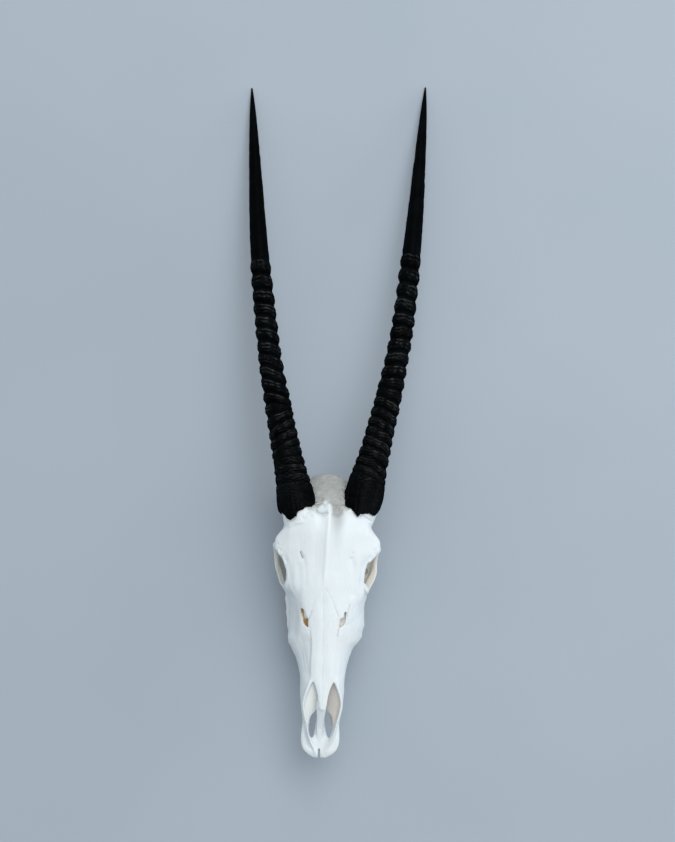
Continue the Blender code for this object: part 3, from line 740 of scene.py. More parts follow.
# Lines across the bones, as X and Y on the upper side of the face
MIDLINE = (
    (-1.4, 0), (-1.4, 24), (-0.5, 71), (-0.9, 86), (-1.4, 114), (-2.5, 156), (-3.7, 199), (-4.9, 227),
    (-4.9, 243), (-4.8, 261), (-3.6, 287), (-3.4, 312), (-1.9, 341), (-1.9, 354), (-4.0, 374), (-3, 395),
)
NASAL_EDGES = (
    ((-22.8, 190), (-20, 173), (-18.8, 158), (-19.2, 132), (-18.6, 113)),
    ((19.4, 190), (18.1, 173), (15.7, 146), (15.2, 130), (15.8, 113)),
)
FRONTAL_SEAMS = (
    ((-4.9, 241.5), (-9.5, 240), (-13.5, 232), (-17.5, 221), (-20.6, 213.7), (-24.4, 201.1), (-23.2, 190)),
    ((-4.9, 241.5), (-0.4, 240.5), (3.5, 234), (8.2, 227.4), (13.5, 214), (18.3, 202.8), (19.6, 190)),
)
BROW_PITS = (
    (1.0, ((-40.2, 293.8), (-36.8, 285.4))), (0.5, ((35.4, 295.8), (34.8, 294.4))),
    (0.35, ((33.9, 288.0), (33.6, 286.0))),
)
BROW_LINES = (
    (0.7, 3.0, ((-36.8, 285.4), (-33.4, 275.5), (-31.6, 262), (-31.0, 246))),
    (0.9, 4.4, ((-42.5, 274), (-40.8, 256), (-38.8, 239), (-37.2, 225), (-36.2, 211))),
    (1.5, 4.2, ((33.8, 286), (37.0, 277), (39.4, 263), (40.0, 250), (38.6, 236))),
    (-0.4, 5, ((-47, 300), (-45, 270), (-43.5, 240))),
    (-0.5, 5, ((44, 300), (46, 270), (43.5, 240))),
)
CROWN_NOTCHES = (
    ((-20.7, 356.2), (-16.9, 351.3), (-11.1, 349.7), (-5.4, 351.7)),
    ((5.4, 350), (10.5, 348.8), (15.4, 352.6), (16.7, 357.7)),
)
CROWN_BUMPS = ((-13, 360.8), (-7.6, 369.6), (-1.6, 362.7))
CROWN_BAR = ((-9, 357), (-2, 354), (8, 357))
CORONAL_SEAM = ((-36, 372), (-22, 379), (-10, 374), (-4, 377), (4, 374), (16, 379), (34, 373))

# Seams on the sides, as Y and Z
SIDE_SEAMS = (
    ((98, 19), (92, 8), (82, -4), (72, -16), (66, -26)),
    ((190, 17), (198, 6), (207, -6), (213, -18), (222, -32), (236, -42)),
    ((213, 13), (224, 7), (236, 4), (246, 2)),
    ((301, 8), (303, -2), (299, -14)),
    ((281, -50), (287, -56), (296, -60)),
)

# Outlines of the open slits beside the nasal bones, as X and Y
SLITS = {
    Side.RIGHT: (
        (-35.9, 213), (-34.9, 204), (-33.6, 197), (-32.1, 193), (-29.2, 190.1), (-27, 188.1), (-24.1, 185),
        (-22.4, 181.5), (-23.6, 187), (-25.1, 191.3), (-24.6, 196.3), (-24.6, 199.2), (-26.6, 200.7),
        (-28.6, 204.3), (-30.4, 208.7), (-33.6, 214.5)),
    Side.LEFT: (
        (27.6, 212.2), (29.8, 210.1), (28.8, 206.5), (28.7, 202.2), (28.4, 196.4), (27.0, 193.0),
        (24.2, 190.4), (21.6, 188.4), (18.8, 184.6), (19.0, 190.6), (20.1, 193), (20.5, 200),
        (22.3, 201.4), (24.5, 202.2), (26.6, 205.1), (25.7, 207.9)),
}
CRACKS = (
    ((-36.2, 222), (-35.8, 212)), ((-20.3, 211), (-23.6, 199.5)), ((-22.6, 183), (-20.6, 176), (-19.4, 168)),
    ((34.0, 222.4), (32.6, 213.7), (30.9, 206.6), (31.3, 203.6)), ((18.8, 187), (18.3, 183.6), (16.9, 175)),
)
EYE_MIDDLE = (60, 271, -20)
EYE_RADII = (33, 25, 21.5)
SOCKET_HOLES = ((-56.4, 267.4, -50.5), (60.6, 269.0, -50.0))
FRONT_SLIT = ((-0.9, -3, 0), (-1.2, 9, 0), (-1.8, 27, 0))
SLIT_GROOVE = ((-1.5, 18), (-1.2, 30), (-0.9, 44))
NOSTRIL_TROUGH = ((9, 8), (17, 20), (23.3, 36), (25.2, 50))

# Places of the tooth roots along the tooth plane, and knobs of the cheeks: height, width and middle
TOOTH_ROOTS = (144.5, 158.5, 173.5, 190.5, 210.5, 231.5)
CHEEK_KNOBS = ((1.6, 3.2, (-50.5, 160.5, -34)), (1.2, 4.0, (-56.5, 175, -33)), (1.2, 4.0, (53, 174, -33)))

# How far each brow moves inward, and between which places along the face that fades out
BROW_SHIFTS = {Side.LEFT: (6.8, 276, 300), Side.RIGHT: (2.6, 258, 284)}


@dataclass(frozen=True)
class HornSeat:
    """Base centre of one horn, the direction in which it sets out, and the bone that carries it."""

    slide: float
    root_top: float
    root_inset: float
    first: tuple = (45.6, 354.5, -8.5)
    second: tuple = (49.5, 374, -13.5)

    def run(self) -> np.ndarray:
        """Unit direction of the horn at its base."""
        way = np.subtract(self.second, self.first)
        return way / np.linalg.norm(way)

    def base(self) -> np.ndarray:
        """Middle of the horn's lower end, on the left side."""
        return self.first + self.run() * self.slide

    def seen_from(self, places: np.ndarray, side: Side) -> tuple:
        """Distance of each place along the horn's foot, and its way off the foot's middle line.

        Args:
            places: points in the face frame.
            side: which horn's foot.

        Returns:
            The distances, and the ways off the line, one row each.
        """
        rel = places * (side.value, 1, 1) - self.base()
        rise = rel @ self.run()
        return rise, rel - np.outer(rise, self.run())


SEATS = {Side.LEFT: HornSeat(6.0, 2.0, 1.0), Side.RIGHT: HornSeat(-12.0, 16.0, 2.2)}


@dataclass(frozen=True)
class RingTable:
    """Where each ring crosses the inner and the outer side of a horn, and how strong it is there."""

    inner: tuple
    outer: tuple
    weak_inner: tuple = ()
    weak_outer: tuple = ()
    weak: float = 0.15

    def crests(self, turn: float) -> tuple:
        """Distances and strengths of all rings at one angle; 0 is the inner side, half a turn the outer.

        Args:
            turn: angle round the horn.

        Returns:
            The distances and the strengths, one each for each ring.
        """
        share = (1 - math.cos(turn)) / 2
        crests = np.array(self.inner) * (1 - share) + np.array(self.outer) * share
        inner, outer = (np.array([self.weak if ring in faint else 1.0 for ring in range(len(crests))])
                        for faint in (self.weak_inner, self.weak_outer))
        weights = inner * (1 - share) + outer * share
        before, after = 2 * crests[0] - crests[1], 2 * crests[-1] - crests[-2]
        return np.concatenate(([before], crests, [after])), np.concatenate(([0], weights, [0]))


@dataclass
class Horn:
    """One black horn sheath: wrinkled collar, uneven rings, smooth point, hollow foot.

    The edge holds degrees round the horn and the place of the ragged lower edge there. The sway
    holds places along the horn and how far its middle line swings inward.
    """

    side: Side
    tip_lift: float
    table: RingTable
    edge: tuple
    sway: tuple
    taper: float
    seed: int
    rows: int = 660
    sides: int = 132
    socket_end: float = 17.0
    ring_height: float = 3.3
    route: tuple = (
        (45.6, 354.5, -8.5), (49.5, 374, -13.5), (61.5, 432, -28.5), (82.5, 522.5, -53), (99, 615, -80.5),
        (112, 710.5, -110.5), (122, 809, -143), (130, 911, -179.5), (135.3, 981, -206), (139.3, 1037.5, -228),
    )
    girth: tuple = (
        (0, 28.3), (28, 28.2), (42, 26.5), (60, 24), (90, 21.8), (130, 20.2), (180, 18.9), (230, 17.2),
        (280, 16.2), (330, 15.7), (380, 15), (430, 13.9), (480, 12.6), (530, 11), (585, 9), (640, 6.9),
        (690, 4.1), (726, 1.0),
    )

    def axis(self) -> tuple:
        """Points of the horn's middle line and their distances from its base."""
        seat = SEATS[self.side]
        route = np.array(self.route) + seat.run() * seat.slide
        knots = lengths_along(route)
        route[:, 2] += self.tip_lift * (knots / knots[-1]) ** 2
        return route, knots

    def seen_from(self, places: np.ndarray) -> tuple:
        """Places of the face given by the horn's straight foot.

        Args:
            places: points in the face frame.

        Returns:
            Distance along the foot, angle round it, distance from its middle line, and direction
            away from that line.
        """
        seat = SEATS[self.side]
        across, over = side_and_top(seat.run())
        rise, flat = seat.seen_from(places, self.side)
        gap = np.linalg.norm(flat, axis=1)
        away = flat / (gap[:, None] + TINY) * (self.side.value, 1, 1)
        return rise, np.arctan2(flat @ over, -flat @ across) % math.tau, gap, away

    def plain_radius(self, place: np.ndarray, angle: np.ndarray) -> np.ndarray:
        """Radius of the sheath without its rings and other fine forms.

        Args:
            place: distances along the horn.
            angle: angles round the horn.

        Returns:
            One radius for each place.
        """
        outward = ramp(-np.cos(angle), 0.55, 0.95) * ramp(np.sin(angle), -0.6, 0.2)
        thinner = self.taper * outward * (1 - ramp(place, -8, 28)) + 0.8 * (1 - ramp(place, -14, 10))
        return read(self.girth, place) - thinner

    def uneven(self, places: np.ndarray, size: float, number: int, octaves: int = 1) -> np.ndarray:
        """One of this horn's own random fields, picked by its number."""
        return noise(places, size, self.seed + number, octaves)

    def rings(self, place: np.ndarray, angle: np.ndarray) -> tuple:
        """Height of the rings: broad rounded crests with narrow valleys, each uneven round the horn.

        Args:
            place: distance from the base of each point, ring after ring of points.
            angle: angle of each point.

        Returns:
            One height for each point, and the weight of its pale ring lines: painted highlights, with some
            wear.
        """
        moved = place + 1.5 * self.uneven(wrapped(angle, 2.2, place / 26), 1.1, 0, 2)
        count, strength = np.empty_like(moved), np.empty_like(moved)
        for column in range(self.sides):
            spoke = slice(column, None, self.sides)
            crests, weights = self.table.crests(angle[column])
            count[spoke] = np.interp(moved[spoke], crests, np.arange(len(crests)))
            strength[spoke] = np.interp(moved[spoke], crests, weights)
        whole = np.round(count)
        around = np.column_stack((whole * 1.7, np.cos(angle), np.sin(angle)))
        own = 1 + 0.30 * self.uneven(around, 1.1, 1)
        own *= 0.72 + 0.28 * ramp(place, 60, 180)
        swell = np.sqrt(np.cos(math.pi * count) ** 2 + 0.015) - 0.62
        part = count - whole + 0.04 * self.uneven(around, 0.8, 2)
        crease = bump(part - 0.06, 0.055) + 0.5 * bump(part + 0.27, 0.05)
        crease *= 0.35 + 0.65 * (1 - ramp(place, 230, 330))
        first, second, last = *self.table.inner[:2], self.table.inner[-1]
        strength *= between(place, first - 14, second, last + 6, last + 26)
        around = wrapped(angle, 3, count)
        fine = np.sin(math.tau * (3.3 * count + 0.5 * self.uneven(around, 1.4, 12, 2)))
        # Pale lines across each ring: painted highlights, as if the crests' upper flanks caught the light,
        # with some wear.
        worn = bump(part - 0.14, 0.045) + 0.50 * bump(part + 0.10, 0.11) + 0.35 * bump(part + 0.33, 0.04)
        worn += 0.40 * ramp(fine, 0.35, 0.95)
        worn *= 0.35 + 0.65 * ramp(self.uneven(around, 0.75, 11, 2), -0.6, 0.7)
        height = self.ring_height * swell - 0.85 * crease + 0.14 * fine
        return strength * own * height, strength * worn

    def wrinkles(self, place: np.ndarray, turn: np.ndarray) -> np.ndarray:
        """Height of the fine uneven ridges near the lowest rings.

        Args:
            place: distances along the horn.
            turn: angles round the horn.

        Returns:
            One height in millimetres for each place.
        """
        around = wrapped(turn, 3, place / 14)
        count = place / 5.2 + 1.1 * self.uneven(around, 1.2, 3, 2)
        low = (0.65 + 0.35 * ramp(place, 18, 44)) * (1 - ramp(place, 110, 200))
        return 0.34 * low * np.sin(math.tau * count) * (0.6 + 0.4 * self.uneven(around, 0.8, 4))

    def striae(self, place: np.ndarray, turn: np.ndarray, radius: np.ndarray) -> np.ndarray:
        """Height of the fine lengthwise lines, coarse on the collar and faint toward the tip.

        Args:
            place: distances along the horn.
            turn: angles round the horn.
            radius: distances from the horn's middle line.

        Returns:
            One height in millimetres for each place.
        """
        skin = wrapped(turn, radius, place / 16)
        lines = 0.08 * self.uneven(skin, 2.6, 5, 2) + 0.05 * self.uneven(skin, 1.3, 6)
        return lines * (2 - ramp(place, 34, 66))

    def cracks(self, place: np.ndarray, turn: np.ndarray, radius: np.ndarray) -> np.ndarray:
        """Mask of the splits that run up the collar from its lower edge."""
        line = np.abs(self.uneven(wrapped(turn, radius, place / 30), 7.5, 7))
        return (1 - ramp(line, 0.02, 0.085)) * (1 - ramp(place, 14, 46))

    def lower_edge(self, turn: np.ndarray) -> np.ndarray:
        """Place of the ragged lower edge at each angle."""
        line = np.interp(np.degrees(turn), *np.array(self.edge).T)
        return line + 0.9 * self.uneven(wrapped(turn, 28, turn * 0), 3.4, 8, 2)

    def build(self) -> bpy.types.Object:
        """Makes the finished mesh, on the ground in metres."""
        route, knots = self.axis()
        length = knots[-1]
        share = np.linspace(0, 1, self.rows)
        stations = np.repeat((length - 1.2) * (0.68 * share + 0.32 * share ** 2), self.sides)
        turn = np.arange(self.sides) * math.tau / self.sides
        foot = self.lower_edge(turn)
        angle = np.tile(turn, self.rows)
        place = stations + np.tile(foot, self.rows) * np.clip(1 - stations / 70, 0, 1) ** 2
        radius = self.plain_radius(place, angle)
        rings, worn = self.rings(place, angle)
        wrinkles = self.wrinkles(place, angle)
        cracks = self.cracks(place, angle, radius)
        fine = wrinkles + self.striae(place, angle, radius)
        fine += 0.35 * self.uneven(wrapped(angle, radius, place), 9, 9, 2)
        radius += rings + fine * (1 - ramp(place, length - 160, length - 30)) - 0.9 * cracks
        outer = self.placed(route, knots, place, angle, radius - 0.8 * (1 - ramp(stations, 0, 3)))
        ends = ((self.socket_end, 12.0), (self.socket_end, 24.0), (foot + 1.0, radius[:self.sides] - 2.4),
                (length - 0.5, 0.75), (length - 0.1, 0.35))
        caps = [self.placed(route, knots, turn * 0 + at, turn, size) for at, size in ends]
        obj = loft([*caps[:3], *outer.reshape(self.rows, self.sides, 3), *caps[3:]])
        # The worn mask carries the rings' painted highlights with some wear, and the pale crests of the
        # collar's wrinkles.
        masks = {"worn": np.maximum(worn, 0.45 * ramp(wrinkles, 0.04, 0.16)), "crack": cracks,
                 "collar": 1 - ramp(place, 30, 75), "point": ramp(place, 330, 430),
                 "valley": (1 - ramp(rings, -1.6, 0.2)) * (1 - ramp(place, 395, 430))}
        before, after = 3 * self.sides, 2 * self.sides + 2
        keep_masks(obj, {name: np.pad(mask, (before, after)) for name, mask in masks.items()})
        return on_ground(on_side(obj, self.side), self.side.name.lower() + "_horn_sheath")

    def placed(self, route: np.ndarray, knots: np.ndarray, place: np.ndarray, turn: np.ndarray,
               radius: np.ndarray) -> np.ndarray:
        """Points at distances along the horn, angles round it and radii from its middle line.

        Args:
            route: points of the middle line.
            knots: distance along it of each of those.
            place: distances along the horn.
            turn: angles round the horn.
            radius: distances from the horn's middle line.

        Returns:
            Points in the face frame, one row each.
        """
        way = heading(knots, route, np.clip(place, 1, knots[-1] - 1), 1)
        across, over = side_and_top(way)
        inward = (read(self.sway, place) - np.cos(turn) * radius)[:, None]
        here = through(knots, route, place) + np.minimum(place, 0)[:, None] * way
        return here + across * inward + over * (np.sin(turn) * radius)[:, None]


@dataclass
class BoneRelief:
    """Fine forms of the bone that the plain bodies lack: ridges, seams, nerve openings, rough patches."""

    ridge_height: float = 1.5
    seam_depth: float = 0.55
    grain_height: float = 0.12
    rough_height: float = 0.9

    def offset(self, places: np.ndarray) -> np.ndarray:
        """Distance of each place to the left of the face's own midline."""
        return places[:, 0] - read(MIDLINE, places[:, 1], key=1, value=0)

    def upper(self, normals: np.ndarray) -> np.ndarray:
        """1 where the surface faces out of the face, 0 on its sides and below."""
        return ramp(normals[:, 2], 0.2, 0.55)

    def outside(self, places: np.ndarray, normals: np.ndarray) -> np.ndarray:
        """1 on the outer sides of the face, 0 elsewhere."""
        return ramp(normals[:, 0] * np.sign(places[:, 0]), 0.25, 0.55)

    def seams(self, places: np.ndarray, normals: np.ndarray) -> np.ndarray:
        """Mask of the thin lines where bones meet.

        Args:
            places: points in the face frame.
            normals: their normals.

        Returns:
            One weight from 0 to 1 for each point.
        """
        middle = bump(self.offset(places), 0.7) * between(places[:, 1], 72, 82, 238, 242)
        lines = [0.7 * middle, 0.7 * stripe(places, jagged(CORONAL_SEAM, 2.4, 1.1, 5), 0.8)]
        for number, (path, plain) in enumerate(zip(FRONTAL_SEAMS, (0.40, 0.75))):
            patchy = plain + 0.25 * ramp(noise(places, 14, 60 + number), -0.3, 0.4)
            lines.append(patchy * stripe(places, jagged(path, 2.6, 0.55, number), 0.75))
        for number, (path, plain) in enumerate(zip(NASAL_EDGES, (0.65, 0.50))):
            patchy = plain + 0.35 * ramp(noise(places, 11, 64 + number), -0.2, 0.5)
            lines.append(patchy * stripe(places, jagged(path, 5.0, 0.25, 10 + number), 0.8))
        # Painted shade in the crescent notches in front of the crown.
        lines += [0.6 * stripe(places, path, 1.8) for path in CROWN_NOTCHES]
        lines += [1.3 * stripe(places, path, 0.7) for path in CRACKS]
        flanks = [0.45 * stripe(places[:, 1:], jagged(path, 2.8, 0.6, 20 + number), 0.75)
                  for number, path in enumerate(SIDE_SEAMS)]
        top = self.upper(normals) * ramp(places[:, 2], -40, -20)
        return np.maximum(np.max(lines, axis=0) * top, np.max(flanks, axis=0) * self.outside(places, normals))

    def rough(self, places: np.ndarray, normals: np.ndarray) -> np.ndarray:
        """Mask of the rough bone: between the horns, round their roots, and at the back of the head.

        Args:
            places: points in the face frame.
            normals: their normals.

        Returns:
            One weight from 0 to 1 for each point.
        """
        masks = [0.75 * ramp(places[:, 1], 350, 366)]
        for side, seat in SEATS.items():
            rise, flat = seat.seen_from(places, side)
            masks.append(ramp(rise, -14, -5) * (1 - ramp(np.linalg.norm(flat, axis=1), 32, 40)))
        pads = bump(np.hypot(np.abs(places[:, 0]) - 53, places[:, 1] - 172), 9)
        return np.max([*masks, 0.6 * pads * self.outside(places, normals)], axis=0)

    def brow_pits(self, places: np.ndarray) -> np.ndarray:
        """Mask of the small nerve openings in the forehead."""
        pits = [weight * stripe(places, path, 1.25) for weight, path in BROW_PITS]
        return np.max(pits, axis=0) * ramp(places[:, 2], 8, 14)

    def shoulders(self, places: np.ndarray) -> np.ndarray:
        """Mask of the strips beside the nasal bones, where the cheek bones step down from them.

        Args:
            places: points in the face frame.

        Returns:
            One weight from 0 to 1 for each point.
        """
        masks = []
        for path in NASAL_EDGES:
            beyond = places[:, 0] - read(path[::-1], places[:, 1], key=1, value=0)
            masks.append(between(beyond * math.copysign(1, path[0][0]), -0.6, 3.6, 10, 24))
        return np.max(masks, axis=0) * between(places[:, 1], 110, 124, 164, 180)

    def top_height(self, places: np.ndarray) -> np.ndarray:
        """Height of the ridges, grooves and bumps on the upper side of the face.

        Args:
            places: points in the face frame.

        Returns:
            One height in millimetres for each point.
        """
        x, y, _ = places.T
        off = self.offset(places)
        aside = np.abs(off)
        rise = self.ridge_height * bump(off, 2.6) * between(y, 240, 268, 352, 360)
        rise -= 1.7 * bump(aside - 11, 7) * between(y, 300, 345, 352, 362)
        rise -= 1.2 * bump(aside - 13, 9) * between(y, 245, 285, 300, 340)
        rise += 0.5 * bump(aside - 8, 5) * between(y, 70, 84, 226, 240)
        rise -= (1.4 + 1.4 * ramp(-x, -2, 2)) * self.shoulders(places)
        for depth, width, path in BROW_LINES:
            rise -= depth * stripe(places, path, width)
        for path in CROWN_NOTCHES:
            rise -= 3.2 * stripe(places, path, 2.8)
        for place in CROWN_BUMPS:
            rise += 1.7 * spot(places, place, 3.6)
        return rise + stripe(places, CROWN_BAR, 5.5) * (0.9 + 1.1 * noise(places, 4.0, 3, 2))

    def side_height(self, places: np.ndarray) -> np.ndarray:
        """Height of the swellings over the tooth roots and of the knobs of the cheeks.

        Args:
            places: points in the face frame.

        Returns:
            One height in millimetres for each point.
        """
        _, y, z = places.T
        low = between(-z, 16, 40, 66, 76) * (1 - ramp(y, 238, 250))
        rise = np.zeros(len(places))
        for along in TOOTH_ROOTS:
            rise += 0.8 * low * bump(y - from_teeth(0, along, 26)[1] - 0.33 * (z + 50), 5.0)
        for height, width, middle in CHEEK_KNOBS:
            rise += height * spot(places, middle, width, 3)
        return rise

    def height(self, places: np.ndarray, normals: np.ndarray) -> np.ndarray:
        """How far each vertex moves out along its normal.

        Args:
            places: vertices in the face frame.
            normals: their normals.

        Returns:
            One distance in millimetres for each vertex.
        """
        x, y, z = places.T
        upper = self.upper(normals)
        rise = self.top_height(places) * upper * ramp(z, -25, -5)
        rise += self.side_height(places) * self.outside(places, normals)
        rise -= 1.5 * between(y, 236, 272, 334, 352) * ramp(z, 12, 20)
        rise -= 0.6 * (1 - ramp(y, 1.5, 14))
        rise -= (0.9 * stripe(places, SLIT_GROOVE, 0.9) + 2.2 * self.brow_pits(places)) * upper
        rise -= self.seam_depth * self.seams(places, normals)
        beside = np.column_stack((np.abs(x), y))
        trough = stripe(beside, NOSTRIL_TROUGH, 2.5) * ramp(y, 8, 18) * ramp(normals[:, 2], 0.1, 0.4)
        rise -= (4.0 - 2.0 * ramp(x, -2, 2)) * trough
        knobs = stripe(beside, ORBIT_RIM[1:6], 5.5) * ramp(z, -12, -2) * ramp(y, 268, 284)
        rise += knobs * (1.3 * noise(places, 5.0, 17, 2) - 0.2)
        pits = ramp(noise(places, 3.2, 12, 2), 0.35, 0.8)
        uneven = 0.6 * noise(places, 5.5, 11, 3) - pits
        rise += self.rough(places, normals) * self.rough_height * uneven
        rise += 0.35 * noise(places, (16, 34, 16), 14, 2)
        return rise + self.grain_height * noise(places, (2.6, 11, 2.6), 15, 2)


@dataclass
class Cranium:
    """The whole upper skull, one body of grown-together bone."""

    voxel: float = 1.15
    smooth_rounds: int = 4
    triangles: int = 190000
    hollow_reach: float = 34.0
    hollow_rays: int = 22
    horns: tuple = ()
    relief: BoneRelief = field(default_factory=BoneRelief)

    def nasal_bones(self) -> bpy.types.Object:
        """Pair of vaulted nasal bones that overhang the nostrils, drawn to a point in front."""
        return section_loft([(along, crest, width * 0.6, crest - 0.6, width, crest - 3.0, width * 0.85,
                              crest - 5.0, width * 0.45, crest - 4.4, crest - 4.2)
                             for along, width, crest in NASAL_WIDTHS], spacing=3.0, per_span=5)

    def nostril_rim(self) -> bpy.types.Object:
        """Sharp edge of the nostril opening on one side, from the muzzle tip up to the nasal bones."""
        return sweep(NOSTRIL_EDGE, (2.2, 2.2, 2.2, 2.1, 2.1, 2.1, 2.1, 2.2, 2.4, 2.6),
                     (3.5, 4, 4.5, 4.5, 4.2, 4, 4, 4, 3.8, 3.5))

    def palate_slots(self) -> list:
        """Two slots through the floor of the nose, with the narrow bar between them, and the front slit."""
        slot = sweep(((12.2, 29, -4), (12.3, 37, -6), (11.4, 49, -8), (9.0, 61, -11), (6.4, 71, -13)),
                     (1.0, 4.0, 4.9, 3.9, 1.2), (14, 14, 15, 16, 16))
        return both_sides(slot) + [sweep(FRONT_SLIT, (1.1, 1.25, 0.5), 14)]

    def orbit(self) -> list:
        """Rim, floor and inner wall of one eye socket."""
        rim = sweep(ORBIT_RIM, (6, 4.5, 4, 4.5, 5, 4.5, 4.5, 4, 4, 4.5, 6),
                    (5, 4, 3.5, 4, 5, 5.5, 5, 4, 4, 4.5, 5), (1, 0, 0.35), ring=True)
        below = sweep(((42, 228, -40), (50, 242, -46), (59, 257, -51), (62, 273, -54), (64, 288, -49)),
                      (10, 11, 11, 9, 6), (4, 3.4, 3, 3, 3), (-0.45, 0, 1))
        wall = sweep(((27, 236, -40), (33, 250, -46), (39, 268, -51), (44, 286, -52), (50, 300, -47)),
                     (10, 15, 17, 14, 8), (4, 3.4, 3, 3, 3), (-0.2, 0, 1))
        return [rim, below, wall]

    def horn_roots(self) -> list:
        """Swellings of the forehead that run up into the horn sheaths."""
        roots = []
        for side, seat in SEATS.items():
            foot = seat.base() - seat.run() * 14 - (3.5, 0, 0)
            top = seat.base() + seat.run() * seat.root_top - (seat.root_inset, 0, 0)
            roots.append(on_side(rod((34, 322, -9), foot, 22, 25.6), side))
            roots.append(on_side(rod(foot, top, 25.6, 25.4), side))
        return roots

    def inner_scrolls(self) -> list:
        """Thin scrolls of bone inside the nose, seen through the slits."""
        scrolls = []
        for side, rise in ((Side.RIGHT, 0.0), (Side.LEFT, 0.5)):
            course = ((19, 176, 9 + rise), (23, 188, 9 + rise), (26.5, 199, 8 + rise), (29.5, 212, 6),
                      (32, 224, 2))
            scrolls.append(on_side(sweep(course, (4, 8, 8.5, 6.5, 3), (3, 3.5, 3.5, 3.5, 3)), side))
            ridge = ((22, 182, 10.5), (26, 194, 11), (30.5, 208, 9.5), (33, 220, 6))
            scrolls.append(on_side(sweep(ridge, (1.2, 1.6, 1.6, 1.2), (2.5, 3.0, 2.6, 2.0)), side))
        return scrolls

    def nostril_floors(self) -> list:
        """Sloping floors of the nostrils, the right one nearer the surface, and the bar between them."""
        floors = []
        for side, drop, lean in ((Side.RIGHT, 0.0, -0.62), (Side.LEFT, 4.5, -0.75)):
            course = ((20.5, 40, -2), (20.2, 50, -0.5), (19.0, 62, 3 - 0.4 * drop), (15.5, 73, 5.5 - drop),
                      (14.0, 85, 8 - drop), (12.0, 98, 11 - drop), (10.5, 114, 13.5 - drop))
            floors.append(on_side(sweep(course, (2.0, 3.6, 6.6, 11.5, 12.0, 10.5, 6),
                                        (1.4, 1.5, 1.5, 1.6, 1.6, 1.6, 1.5), (lean, 0, 1)), side))
        bar = ((-1.2, 26, -4), (-1.2, 46, -1), (-1.0, 60, 6), (-0.9, 71, 13), (-0.8, 84, 17))
        return floors + [sweep(bar, (4.5, 5.4, 5.8, 7.2, 7.6), (3, 3.2, 4, 4, 4))]

    def cheek_arch(self) -> list:
        """Bar from the cheek under the eye to the side of the braincase, with the jaw's joint."""
        return [
            sweep(((48, 221, -36), (54, 236, -39), (62.5, 250, -42), (69, 266, -47), (70, 282, -51)),
                  (8, 6.5, 5, 4.5, 4), (12, 11, 9, 8, 7.5)),
            sweep(over_teeth((71, 280, 54), (69, 290, 57), (65, 303, 60), (61.5, 318, 64), (57, 331, 68),
                             (47, 341, 72), (34, 345, 76)),
                  (3.8, 3.8, 3.8, 4.5, 6, 8, 10), (7.5, 6.5, 6.5, 7, 7, 8, 12)),
            blob(from_teeth(48, 331, 58), (13, 9, 6)),
        ]

    def braincase(self) -> list:
        """Rounded case behind the forehead, with the crest and the keel across its back."""
        return [
            blob(from_teeth(0, 346, 80), (40, 52, 36)),
            section_loft(CROWN_STATIONS),
            blob(from_teeth(0, 374, 68), (41, 22, 33)),
            sweep(over_teeth((-42, 372, 52), (-43, 380, 70), (-34, 388, 86), (-17, 395, 97), (0, 398, 101),
                             (17, 395, 97), (34, 388, 86), (43, 380, 70), (42, 372, 52)),
                  4, (5, 5, 6, 7, 7, 7, 6, 5, 5)),
            sweep(over_teeth((0, 388, 72), (0, 393, 86), (0, 396, 98)), (4, 4, 5), (8, 7, 6), (0, 1, 0)),
        ]

    def skull_base(self) -> list:
        """Bar under the braincase with rear processes, neck joints, ear capsules and wing plates."""
        bar = sweep(over_teeth((0, 392, 46), (0, 370, 46), (0, 335, 50), (0, 296, 58)),
                    (19, 17, 13, 10), (7, 8, 9, 10))
        return [bar] + both_sides(
            sweep(over_teeth((40, 380, 58), (38.5, 377, 38), (36, 373, 21), (33.5, 369, 3.5)),
                  (8, 5.8, 5, 4.6), (13, 11, 9, 7), (0, 1, 0.2)),
            blob(from_teeth(17, 391, 50), (11.5, 14, 16)),
            blob(from_teeth(26, 352, 38), (9, 16, 15)),
            blob(from_teeth(41, 370, 56), (9, 13, 20)),
            sweep(over_teeth((22, 226, 38), (18.5, 240, 40), (16, 258, 42), (15, 276, 43), (14.5, 292, 48),
                             (14, 302, 54)), (4, 3, 2.6, 2.6, 2.8, 4), (14, 16, 17, 17, 12, 6)),
        )

    def face_openings(self) -> list:
        """Open wedges beside the nasal bones, and the nerve openings of the face."""
        openings = both_sides(rod((46, 144, -19), (24, 168, -22), 3.6, 2.2))
        openings += [prism(outline, 0, 36) for outline in SLITS.values()]
        openings += [blob(place, (1.8, 5.0, 5.5), tilt=0.0) for place in SOCKET_HOLES]
        return openings + [rod((-40.2, 293.8, 34), (-31.8, 281.4, 9), 1.5, 1.3)]

    def hollows(self) -> list:
        """Eye sockets, brain space, nose channel behind the palate, and openings of the face and nape."""
        eye = blob(EYE_MIDDLE, EYE_RADII, tilt=0.0, yaw=math.radians(-8))
        return both_sides(eye) + self.face_openings() + [
            blob(from_teeth(0, 346, 80), (33, 42, 27)),
            rod(from_teeth(0, 350, 66), from_teeth(0, 415, 57), 12, 13),
            section_loft(REAR_NOSTRIL_STATIONS),
        ]

    def rough_body(self) -> bpy.types.Object:
        """All forms in one mesh, cut by all hollows, before the skin is drawn over it."""
        face = joined([section_loft(FACE_STATIONS)] + both_sides(self.nostril_rim()))
        nose = [section_loft(NOSE_STATIONS), section_loft(NOSTRIL_STATIONS)]
        face = less(face, joined(nose + self.palate_slots()))
        parts = [face, self.nasal_bones(), section_loft(CORE_STATIONS), section_loft(FOREHEAD_STATIONS)]
        parts += both_sides(*self.orbit(), *self.cheek_arch())
        parts += self.horn_roots() + self.braincase() + self.skull_base()
        body = less(joined(parts), joined(self.hollows()))
        return joined([body] + self.inner_scrolls() + self.nostril_floors())

